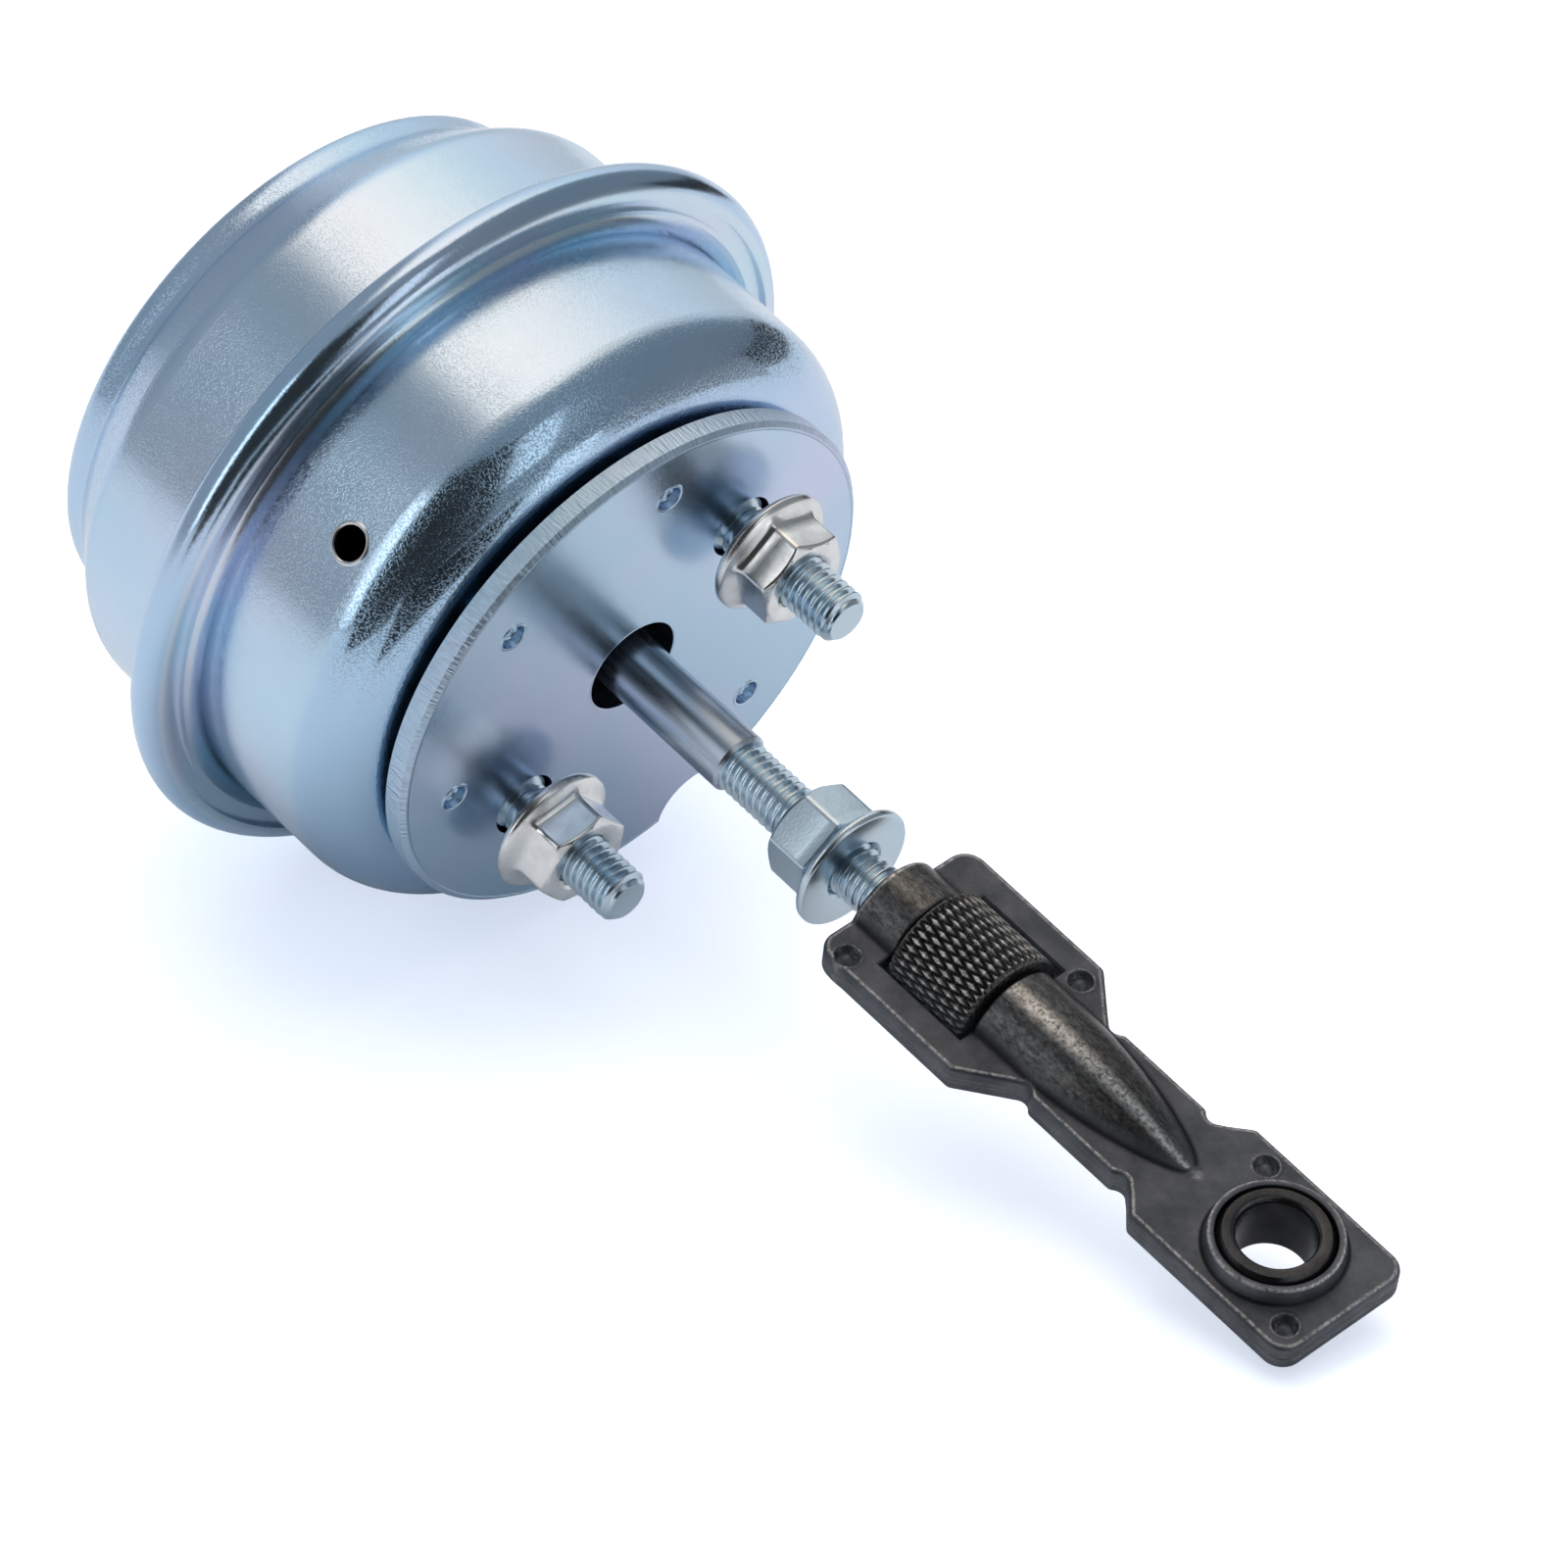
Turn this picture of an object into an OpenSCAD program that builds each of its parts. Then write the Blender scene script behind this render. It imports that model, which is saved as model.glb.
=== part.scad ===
// Vacuum diaphragm actuator for a turbocharger, with its threaded rod and stamped link.
// The X axis is the axis of the rod. X = 0 is the front face of the mounting plate,
// the can lies behind it and the link in front of it. Z is the axis of the link's eye.

/* [Can] */
// Outside radius of the can's straight walls
can_r = 36.4; // [34:0.1:40]
// Sheet thickness of both cans
can_wall = 1; // [0.8:0.1:1.4]
// Distance from the front can's front face back to the crimped joint
front_depth = 24.2; // [20:0.1:30]
// Bend radius between the front can's wall and its front face
front_bend = 8; // [5:0.1:9]
// Distance from the crimped joint back to the rear can's end
rear_depth = 26.2; // [24:0.1:34]
// Outside radius of the narrow end of the rear can
dome_r = 31.6; // [29:0.1:33]
// Straight length of the narrow end of the rear can
dome_h = 3.8; // [3:0.1:6]
// Length of the cone between the narrow end and the straight wall
shoulder_h = 6.6; // [5:0.1:8]
// Bend radius at the rear edge of the narrow end
dome_bend = 2; // [1.5:0.1:3]
// Bend radius where the cone meets the straight wall
shoulder_bend = 4; // [2:0.1:5]
// Radius of the breather hole in the front can
vent_r = 2; // [1:0.1:3]
// Distance of the breather hole behind the front can's front face
vent_back = 10.7; // [9.5:0.1:14]
// Angle of the breather hole round the rod
vent_angle = 137.5; // [0:0.5:360]

/* [Crimp] */
// How far the crimped rim stands out from the cans' walls
rim_w = 6.3; // [5.6:0.1:9]
// Thickness of the diaphragm's edge between the two cans
edge_t = 1.2; // [0.8:0.1:2]
// How far the rim's rounded outer bead stands in front of the folded hem
rim_over = 0.6; // [0.3:0.1:1]
// Fillet between the cans' walls and the rim
rim_fillet = 1.8; // [1:0.1:2]
// Distance from the can's wall out to the cut edge of the hem
hem_out = 1.9; // [1.9:0.1:2.2]
// Width of the turned-up lip at the cut edge of the hem
hem_lip_w = 0.5; // [0.3:0.1:0.8]
// Height of the turned-up lip at the cut edge of the hem
hem_lip_h = 0.4; // [0.2:0.1:0.8]

/* [Mounting plate] */
// Radius of the mounting plate
plate_r = 30.6; // [28:0.1:33]
// Thickness of the mounting plate
plate_t = 2.6; // [2:0.1:5]
// Height of the weld bosses that hold the plate off the can
weld_h = 1; // [0.5:0.1:2]
// Radius of the plate's centre hole
plate_hole_r = 5.65; // [4.5:0.05:7]
// Break on the plate's front edge
plate_bevel = 0.5; // [0.2:0.1:1]
// Radius of the circle of weld dimples
dimple_circle_r = 23.8; // [22:0.1:26]
// Radius of one weld dimple
dimple_r = 1.6; // [1:0.1:2]
// Depth of one weld dimple
dimple_depth = 1.4; // [0.5:0.1:1.8]
// Angle of the middle dimple of each group of three
dimple_angle = 136; // [0:1:360]
// Angle between neighbouring dimples
dimple_step = 53; // [40:1:60]
// Radius of the locating notch in the plate's edge
notch_r = 5; // [3:0.1:6]
// How far the notch reaches into the plate
notch_depth = 3.3; // [1:0.1:4]
// Angle of the locating notch
notch_angle = -70; // [-180:1:180]

/* [Studs and nuts] */
// Diameter of the circle through both studs
stud_circle_d = 36.4; // [32:0.1:42]
// Angle of the first stud round the rod
stud_angle = 41.5; // [0:0.5:90]
// Radius of the studs over their thread
stud_r = 3; // [2.5:0.1:3.3]
// Length of a stud in front of the plate
stud_out = 16.2; // [14:0.1:24]
// How much thicker a stud's root is where it passes the can and the plate
stud_root = 0.3; // [0.2:0.1:0.4]
// Radius of a stud's round head inside the can
stud_head_r = 5; // [4.5:0.1:6]
// Thickness of a stud's head
stud_head_t = 2; // [1.5:0.1:2.2]
// Radial clearance of the plate's holes round the studs
stud_hole_gap = 0.75; // [0.1:0.05:1]
// Gap left for the bracket between the plate and the nuts
bracket_gap = 3.7; // [1:0.1:6]
// Width across the flats of the hexagon nuts
nut_flats = 10; // [8:0.1:11]
// Radius of the nuts' flange
nut_flange_r = 7.1; // [6.5:0.1:9]
// Height of a stud nut
nut_h = 6; // [5:0.1:8]
// Thickness of the flange at a nut's foot
nut_flange_t = 1.2; // [0.8:0.1:1.6]
// Distance from one thread to the next on the studs and the rod
thread_pitch = 1; // [0.8:0.05:1.25]
// Radial clearance of each thread in its nut
thread_gap = 0.05; // [0.03:0.01:0.08]

/* [Rod] */
// Radius of the rod's plain shank
shank_r = 3.425; // [3.2:0.025:4.5]
// Distance from the plate's face to the start of the thread
thread_start = 16.8; // [14:0.1:24]
// Radius of the rod over its thread
thread_r = 3; // [2.5:0.1:3.3]
// Distance from the plate's face to the end of the rod
rod_end = 62; // [60.5:0.1:64]
// Radius of the rod's reduced tail in the piston
tail_r = 2.5; // [2:0.1:2.8]
// Distance from the plate's face to the lock nut
lock_nut_x = 26.4; // [20:0.1:28]
// Height of the lock nut
lock_nut_h = 7.7; // [6:0.1:9]

/* [Link] */
// Distance from the plate's face to the near end of the link
link_x = 39.5; // [38:0.1:45]
// Thickness of each of the two stamped plates
sheet_t = 1.6; // [1:0.1:2]
// Half the width of the wings
wing_w = 10.4; // [9:0.1:13]
// Length of the wings' straight edges
wing_l = 20.2; // [19:0.1:22]
// Half the width of the neck
neck_w = 6.4; // [5.8:0.1:7]
// Distance from the link's near end to the start of the neck
neck_x = 25.8; // [25:0.1:28]
// Distance from the link's far end back to the end of the neck
paddle_l = 24.3; // [22:0.1:27]
// Half the width of the paddle round the eye
paddle_w = 8.6; // [8:0.1:10]
// Length of the whole link
link_l = 66.2; // [65:0.1:70]
// Radius of the relief notches at both ends of the neck
relief_r = 1.3; // [0.8:0.1:1.6]
// Corner radius of the wings and the paddle
link_corner = 2.4; // [1:0.1:3]
// Outside radius of the half-round barrel
barrel_r = 5.45; // [5:0.05:6]
// Length of the barrel before it tapers
barrel_l = 23.5; // [23:0.1:25]
// Length of the bullet-shaped end of the barrel
taper_l = 20.7; // [19:0.1:22]
// Radius of the small rings of the clinched joints
clinch_r = 1.15; // [0.9:0.05:1.4]

/* [Adjuster] */
// Outside radius of the knurled adjuster
adjuster_r = 6.5; // [5.8:0.1:6.6]
// Length of the knurled adjuster
adjuster_l = 11; // [9:0.1:13]
// Distance from the link's near end to the window
window_x = 5.9; // [5:0.1:7]
// Clearance between the adjuster and each end of the window
window_end_gap = 0.55; // [0.2:0.05:1]
// Clearance between the adjuster and each side of the window
window_side_gap = 0.45; // [0.3:0.05:1]

/* [Eye] */
// Distance from the link's far end back to the centre of the eye
eye_back = 10.3; // [9:0.1:12]
// Radius of the bore for the lever pin
eye_bore_r = 4.05; // [3.5:0.05:4.6]
// Radius of the swivel ball
ball_r = 6.6; // [6.2:0.1:7]
// Width of the swivel ball between its flat faces
ball_w = 7.5; // [6:0.1:8]
// Radial clearance of the ball in its seat
ball_gap = 0.05; // [0.03:0.01:0.1]
// Outside radius of the raised collar at its foot
collar_r = 7.3; // [7.2:0.1:8]
// Height of the collar above the link's plate
collar_h = 1.8; // [1:0.1:2.2]
// How much the collar narrows from foot to top
collar_draft = 0.4; // [0:0.1:0.6]

/* [Piston and diaphragm] */
// Gap between the piston cup and the cans' wall, for the diaphragm's fold
fold_w = 9.4; // [7:0.1:11]
// Sheet thickness of the piston cup
piston_wall = 1.2; // [0.8:0.1:1.6]
// Depth of the piston cup
piston_h = 20; // [15:0.1:22]
// Bend radius of the piston cup
piston_bend = 2.5; // [1.5:0.1:4]
// Thickness of the diaphragm's rubber
rubber_t = 0.8; // [0.5:0.1:1.2]
// Radius of the plate that holds the diaphragm on the piston
retainer_r = 21; // [15:0.5:22]
// Thickness of the retainer plate
retainer_t = 1; // [0.8:0.1:1.5]
// Distance from the crimped joint back to the middle of the diaphragm's fold
fold_back = 5; // [3:0.1:7]
// Gap between the diaphragm and the walls beside it
rubber_gap = 0.3; // [0.2:0.05:0.5]

/* [Guide] */
// Radius of the guide bush where it passes the can
bush_r = 8; // [7:0.1:9]
// Radius of the guide bush's flange
bush_flange_r = 12; // [10:0.1:12.5]
// Length of the guide bush behind the can's front wall
bush_l = 3.7; // [3.2:0.1:3.8]
// Running clearance between the rod and the bush
rod_gap = 0.075; // [0.03:0.005:0.09]
// Outside radius of the rod seal
seal_r = 6; // [5:0.1:7]

/* [Spring and nipple] */
// Mean radius of the return spring
spring_r = 19.5; // [16:0.1:21]
// Radius of the spring wire
wire_r = 1.1; // [0.8:0.05:1.4]
// Working coils of the return spring
spring_turns = 5; // [4:0.5:7]
// Outside radius of the vacuum nipple
nipple_r = 2.6; // [2:0.1:4]
// Radius of the nipple's air passage
nipple_bore_r = 1.5; // [1:0.1:1.8]
// Length of the nipple behind the can
nipple_l = 13; // [8:0.5:13]

/* [Hidden] */
$fn = 96;
zinc = "lightsteelblue";
black = [0.16, 0.16, 0.17];
rubber = [0.08, 0.08, 0.08];
steel = "silver";
over = 0.5;       // how far a cutting shape passes the face it cuts
touch = 0.05;     // gap between faces of pieces that move together but are not one
// Places along X
front_x = -plate_t - weld_h;
joint_x = front_x - front_depth;
rear_x = joint_x - rear_depth;
front_flange_x = joint_x + can_wall;
hem_x = front_flange_x + can_wall;
rear_flange_x = joint_x - edge_t - can_wall;
rim_r = can_r + rim_w;
rim_bead = (hem_x + rim_over - rear_flange_x) / 2;
bead_x = rear_flange_x + rim_bead;
bead_c = rim_r - rim_bead;
hem_edge_r = can_r + hem_out;
void_r = rim_r - can_wall;
bush_x = front_x - can_wall - bush_l;
retainer_x = bush_x - rubber_gap;
crown_x = retainer_x - retainer_t - touch;
piston_x = crown_x - rubber_t - touch;
washer_x = piston_x - piston_wall - touch;
washer_t = 1;
washer_r = 8;
head_h = 1.3;
head_r = 3.9;
seat_x = rear_x + can_wall;
seat_t = 1;
hole_gap = 0.05;
seal_l = 2;
stud_pos = [for (i = [0, 1]) [stud_circle_d / 2, stud_angle + 180 * i]];
dimple_pos = [for (side = [0, 1], i = [-1 : 1])
    [dimple_circle_r, dimple_angle + 180 * side + dimple_step * i]];
eye_x = link_l - eye_back;
eye_pos = link_x + eye_x;
neck_end = link_l - paddle_l;
piston_r = can_r - can_wall - fold_w;
// Places of the clinched joints along the link, and in from its side edges: the first from the
// near end, the others back from the end of the wing, the eye and the far end
clinch_along = [3.3, 0.2, 7.6, 2.7];
clinch_in = [1.5, 3, 2.5, 2.8];
clinches = [[clinch_along[0], clinch_in[0] - wing_w],
            [wing_l - clinch_along[1], wing_w - clinch_in[1]],
            [eye_x - clinch_along[2], paddle_w - clinch_in[2]],
            [link_l - clinch_along[3], clinch_in[3] - paddle_w]];
// The studs' thread starts just behind the nuts, and each nut was left at its own angle
stud_thread_x = bracket_gap - 0.2;
nut_turns = [28, -2];

// Turns what stands along Z so that it lies along X
module along_x() {
    rotate([0, 90, 0]) children();
}

// Turns a section drawn as [radius, X] round the rod's axis
module turned() {
    along_x() rotate_extrude() children();
}

// A cylinder along X from x0 to x1
module rod_x(r, x0, x1) {
    translate([x0, 0, 0]) along_x() cylinder(r = r, h = x1 - x0);
}

// A cone along X from x0 to x1
module cone_x(r0, r1, x0, x1) {
    translate([x0, 0, 0]) along_x() cylinder(r1 = r0, r2 = r1, h = x1 - x0);
}

// Puts a copy at each [radius, angle] round the rod's axis
module at_each(places) {
    for (p = places)
        rotate([p[1], 0, 0]) translate([0, p[0], 0]) children();
}

function unit(v) = v / norm(v);
function cross_z(a, b) = a[0] * b[1] - a[1] * b[0];

// Threads are plain cylinders at their pitch radius, midway up the thread
function pitch_r(r) = r - 0.325 * thread_pitch;

// The sliver between a corner p and an arc of radius r that touches both its sides
module corner_web(before, p, after, r) {
    a = unit(before - p);
    b = unit(after - p);
    half = acos(a * b) / 2;
    t = r / tan(half);
    past = unit(a + b) * 0.1;
    difference() {
        polygon([p - past, p + a * t, p + b * t]);
        translate(p + unit(a + b) * r / sin(half)) circle(r = r);
    }
}

// A closed outline of corners [x, y, bend radius], listed anticlockwise
module bent_outline(corners) {
    n = len(corners);
    pts = [for (c = corners) [c[0], c[1]]];
    module webs(sign) {
        for (i = [0 : n - 1]) {
            before = pts[(i + n - 1) % n];
            after = pts[(i + 1) % n];
            turn = cross_z(pts[i] - before, after - pts[i]);
            if (corners[i][2] > 0 && turn * sign > 0)
                corner_web(before, pts[i], after, corners[i][2]);
        }
    }
    difference() {
        union() {
            polygon(pts);
            webs(-1);
        }
        webs(1);
    }
}

// The rear can: stepped end, straight wall, rim and the hem folded over the front can's rim
module rear_can() {
    slope = atan((can_r - dome_r) / shoulder_h);
    thin = can_wall * tan(slope / 2);
    cone_x0 = rear_x + dome_h;
    cone_x1 = cone_x0 + shoulder_h;
    inner_r = can_r - can_wall;
    clamp_x = joint_x - edge_t;
    bead_front = hem_x + rim_over;
    void_bend = (front_flange_x - clamp_x) / 2;
    color(zinc) difference() {
        turned() bent_outline([
            [0, rear_x, 0],
            [dome_r, rear_x, dome_bend],
            [dome_r, cone_x0, dome_bend],
            [can_r, cone_x1, shoulder_bend],
            [can_r, rear_flange_x, rim_fillet],
            [rim_r, rear_flange_x, rim_bead],
            [rim_r, bead_front, rim_bead],
            [bead_c, bead_front, 0],
            [bead_c, hem_x, 0],
            [hem_edge_r + hem_lip_w, hem_x, 0],
            [hem_edge_r + hem_lip_w, hem_x + hem_lip_h, 0],
            [hem_edge_r, hem_x + hem_lip_h, 0],
            [hem_edge_r, front_flange_x, 0],
            [void_r, front_flange_x, void_bend],
            [void_r, clamp_x, void_bend],
            [inner_r, clamp_x, 0],
            [inner_r, cone_x1 + thin, shoulder_bend - can_wall],
            [dome_r - can_wall, cone_x0 + thin, dome_bend + can_wall],
            [dome_r - can_wall, seat_x, dome_bend - can_wall],
            [0, seat_x, 0]]);
        rod_x(nipple_r + hole_gap, rear_x - over, seat_x + over);
    }
}

// The front can: a flat face with holes, a straight wall and a flat rim
module front_can() {
    inner_r = can_r - can_wall;
    inner_x = front_x - can_wall;
    color(zinc) difference() {
        turned() bent_outline([
            [inner_r, joint_x, 0],
            [bead_c, joint_x, 0],
            [bead_c, front_flange_x, 0],
            [can_r, front_flange_x, rim_fillet],
            [can_r, front_x, front_bend],
            [0, front_x, 0],
            [0, inner_x, 0],
            [inner_r, inner_x, front_bend - can_wall]]);
        rod_x(bush_r, inner_x - over, front_x + over);
        at_each(stud_pos) rod_x(stud_r + stud_root + hole_gap, inner_x - over, front_x + over);
        rotate([vent_angle, 0, 0])
            translate([front_x - vent_back, can_r, 0])
                rotate([90, 0, 0]) cylinder(r = vent_r, h = can_wall * 4, center = true);
    }
}

module mounting_plate() {
    color(zinc) difference() {
        union() {
            turned() difference() {
                translate([0, -plate_t]) square([plate_r, plate_t]);
                translate([plate_r, 0]) rotate(45) square(plate_bevel * sqrt(2), center = true);
            }
            at_each(dimple_pos) rod_x(dimple_r, front_x, -plate_t / 2);
        }
        rod_x(plate_hole_r, -plate_t - over, over);
        at_each(stud_pos) rod_x(stud_r + stud_hole_gap, -plate_t - over, over);
        at_each(dimple_pos) rod_x(dimple_r - 0.1, -dimple_depth, over);
        at_each([[plate_r - notch_depth + notch_r, notch_angle]])
            rod_x(notch_r, -plate_t - over, over);
    }
}

// Two round-headed studs fixed through the front can
module mounting_studs() {
    head_back = front_x - can_wall - stud_head_t;
    core_r = pitch_r(stud_r);
    bevel = core_r / 5;
    color(steel) at_each(stud_pos) {
        rod_x(stud_head_r, head_back, front_x - can_wall);
        rod_x(stud_r + stud_root, head_back, 0);
        rod_x(stud_r, head_back, stud_thread_x);
        rod_x(core_r, head_back, stud_out - bevel);
        cone_x(core_r, core_r - bevel, stud_out - bevel, stud_out);
    }
}

// A hexagon nut with a flange at its foot, standing along X from 0
module flange_nut(h, bore_r) {
    flat_r = nut_flats / 2;
    corner_r = flat_r / cos(30);
    flange_slope = 1.4;
    chamfer = 0.4;
    difference() {
        union() {
            rod_x(nut_flange_r, 0, nut_flange_t);
            cone_x(nut_flange_r, flat_r, nut_flange_t, nut_flange_t + flange_slope);
            intersection() {
                along_x() cylinder(r = corner_r, h = h, $fn = 6);
                cone_x(corner_r + h / 2, flat_r - chamfer / 2, 0, h + chamfer);
            }
        }
        rod_x(bore_r, -over, h + over);
    }
}

module stud_nuts() {
    color(steel) for (i = [0, 1])
        at_each([stud_pos[i]]) translate([bracket_gap, 0, 0]) rotate([nut_turns[i], 0, 0])
            flange_nut(nut_h, pitch_r(stud_r) + thread_gap);
}

// The lock nut faces the link with its flange
module lock_nut() {
    color(steel) translate([lock_nut_x + lock_nut_h, 0, 0]) mirror([1, 0, 0])
        flange_nut(lock_nut_h, pitch_r(thread_r) + thread_gap);
}

// Rubber diaphragm: clamped edge, one rolling fold and the crown on the piston
module diaphragm() {
    leg_out = can_r - can_wall - rubber_gap;
    leg_in = piston_r + rubber_gap;
    mid = (leg_out + leg_in) / 2;
    fold_r = (leg_out - leg_in) / 2;
    fold_x = joint_x - fold_back;
    behind = fold_r + over;
    color(rubber) turned() difference() {
        union() {
            translate([leg_out - rubber_t, joint_x - edge_t])
                square([bead_c - leg_out + rubber_t, edge_t]);
            translate([leg_in, fold_x]) square([leg_out - leg_in, joint_x - fold_x]);
            translate([mid, fold_x]) circle(r = fold_r);
            bent_outline([[tail_r + touch, fold_x, 0],
                          [leg_in + rubber_t, fold_x, 0],
                          [leg_in + rubber_t, crown_x, piston_bend + rubber_t],
                          [tail_r + touch, crown_x, 0]]);
        }
        translate([mid, fold_x]) circle(r = fold_r - rubber_t);
        translate([leg_in + rubber_t, fold_x])
            square([leg_out - leg_in - rubber_t * 2, joint_x - fold_x + over]);
        bent_outline([[0, fold_x - fold_r, 0],
                      [leg_in, fold_x - fold_r, 0],
                      [leg_in, crown_x - rubber_t, piston_bend],
                      [0, crown_x - rubber_t, 0]]);
        translate([0, fold_x - behind]) square([leg_in, behind]);
    }
}

module piston_cup() {
    module solid_cup(inset) {
        open_x = piston_x - piston_h - (inset > 0 ? over : 0);
        bent_outline([[0, open_x, 0],
                      [piston_r - inset, open_x, 0],
                      [piston_r - inset, piston_x - inset, piston_bend - inset],
                      [0, piston_x - inset, 0]]);
    }
    color(steel) difference() {
        turned() difference() {
            solid_cup(0);
            solid_cup(piston_wall);
        }
        rod_x(tail_r + touch, piston_x - piston_wall - over, piston_x + over);
    }
}

// A flat ring round the rod's tail
module ring_x(r, x0, x1) {
    difference() {
        rod_x(r, x0, x1);
        rod_x(tail_r + touch, x0 - over, x1 + over);
    }
}

module retainer_plate() {
    color(steel) ring_x(retainer_r, retainer_x - retainer_t, retainer_x);
}

module rivet_washer() {
    color(steel) ring_x(washer_r, washer_x - washer_t, washer_x);
}

// Height of the spring's wire at a given turn: the end coils lie closed
function coil_x(turn, pitch) =
    wire_r * 2 * min(turn, 1)
    + pitch * max(0, min(turn - 1, spring_turns))
    + wire_r * 2 * max(0, turn - 1 - spring_turns);

module return_spring() {
    steps = 20;
    sides = 8;
    low = seat_x + seat_t + wire_r + touch;
    high = washer_x - wire_r;
    all_turns = spring_turns + 2;
    pitch = (high - low - wire_r * 4) / spring_turns;
    rings = steps * all_turns;
    points = [for (i = [0 : rings], j = [0 : sides - 1])
        let (turn = i / steps, side = 360 * j / sides, r = spring_r + wire_r * cos(side))
            [low + coil_x(turn, pitch) + wire_r * sin(side),
             r * cos(360 * turn), r * sin(360 * turn)]];
    tube = [for (i = [0 : rings - 1], j = [0 : sides - 1])
        let (k = (j + 1) % sides)
            [i * sides + j, i * sides + k, (i + 1) * sides + k, (i + 1) * sides + j]];
    ends = [[for (j = [sides - 1 : -1 : 0]) j],
            [for (j = [0 : sides - 1]) rings * sides + j]];
    color(steel) polyhedron(points = points, faces = concat(tube, ends), convexity = 8);
}

// Dished plate that centres the spring on the rear can's end
module spring_seat() {
    dish_r = spring_r - wire_r - 0.4;
    brim = 2;
    color(steel) difference() {
        union() {
            rod_x(spring_r + wire_r + brim, seat_x, seat_x + seat_t);
            rod_x(dish_r, seat_x, seat_x + seat_t * 3);
        }
        rod_x(dish_r - seat_t, seat_x - over, seat_x + seat_t * 2);
        rod_x(nipple_r * 2, seat_x, seat_x + seat_t * 4);
    }
}

// Guide bush in the front wall, with a pocket for the rod seal at its back
module guide_bush() {
    inner_x = front_x - can_wall;
    recess = 2.4;
    flange_t = 2;
    color(black) difference() {
        union() {
            rod_x(bush_r - hole_gap, inner_x, front_x - can_wall / 2);
            rod_x(bush_flange_r, inner_x - flange_t, inner_x);
            rod_x(bush_r + 1, bush_x, inner_x);
        }
        rod_x(shank_r + rod_gap, bush_x - over, front_x);
        rod_x(plate_hole_r + 0.6, front_x - recess, front_x);
        rod_x(seal_r, bush_x - over, bush_x + seal_l);
    }
}

module rod_seal() {
    color(rubber) difference() {
        rod_x(seal_r - hole_gap, bush_x + 0.1, bush_x + seal_l);
        rod_x(shank_r + rod_gap, bush_x - over, bush_x + seal_l + over);
    }
}

// Plain spigot for the vacuum hose, fixed through the rear can's end
module vacuum_nipple() {
    tip_x = rear_x - nipple_l;
    bevel = 0.5;
    color(steel) difference() {
        union() {
            cone_x(nipple_r - bevel, nipple_r, tip_x, tip_x + bevel);
            rod_x(nipple_r, tip_x + bevel, seat_x + seat_t);
            rod_x(nipple_r * 2, rear_x - 1, rear_x);
        }
        rod_x(nipple_bore_r, tip_x - over, seat_x + seat_t + over);
    }
}

// Plain shank, threaded front and a peened tail that holds the piston
module actuator_rod() {
    tail_end = washer_x - washer_t - touch;
    core_r = pitch_r(thread_r);
    bevel = core_r / 4;
    color(steel) union() {
        cone_x(head_r * 0.6, head_r, tail_end - head_h, tail_end - head_h * 0.6);
        rod_x(head_r, tail_end - head_h * 0.6, tail_end);
        rod_x(tail_r, tail_end - head_h * 0.6, retainer_x + touch);
        rod_x(shank_r, retainer_x + touch, thread_start);
        rod_x(core_r, thread_start - over, rod_end - bevel);
        cone_x(core_r, core_r - bevel, rod_end - bevel, rod_end);
    }
}

// Knurled drum that screws along the rod and carries the link with it
module knurled_adjuster() {
    x0 = link_x + window_x + window_end_gap;
    x1 = x0 + adjuster_l;
    bevel = 0.4;
    color(black) difference() {
        union() {
            cone_x(adjuster_r - bevel, adjuster_r, x0, x0 + bevel);
            rod_x(adjuster_r, x0 + bevel, x1 - bevel);
            cone_x(adjuster_r, adjuster_r - bevel, x1 - bevel, x1);
        }
        rod_x(pitch_r(thread_r) + thread_gap, x0 - over, x1 + over);
    }
}

// One side of the link's outline, from its near end to its far end
function link_side(s) = [
    [0, wing_w * s, link_corner],
    [wing_l, wing_w * s, 1],
    [neck_x - 0.6, neck_w * s, 0],
    [neck_end, neck_w * s, 0],
    [neck_end + 2.4, paddle_w * s, 1.2],
    [link_l, paddle_w * s, link_corner]];

function reversed(v) = [for (i = [len(v) - 1 : -1 : 0]) v[i]];

module link_outline() {
    difference() {
        bent_outline(concat(link_side(-1), reversed(link_side(1))));
        for (s = [-1, 1], x = [neck_x + relief_r / 2, neck_end - relief_r])
            translate([x, s * (neck_w + relief_r / 2)]) circle(r = relief_r);
    }
}

// The barrel and its bullet-shaped end, drawn in by a sheet thickness. The end is drawn in
// straight steps on one arc, which starts along the barrel and dips into the plate's face
module barrel(inset) {
    steps = 6;
    drop = barrel_r - sheet_t;
    arc_r = (drop * drop + taper_l * taper_l) / 2 / drop;
    r = arc_r - inset;
    end_r = inset > 0 ? 0 : sheet_t - 0.3;
    turn = acos((end_r + arc_r - barrel_r) / r);
    arc = [for (a = [0 : turn / steps : turn + 0.01])
        [barrel_r - arc_r + r * cos(a), barrel_l + r * sin(a)]];
    start = inset > 0 ? -over : 0;
    translate([link_x, 0, 0]) turned()
        polygon(concat([[0, start], [barrel_r - inset, start]], arc, [[0, arc[steps][1]]]));
}

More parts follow.
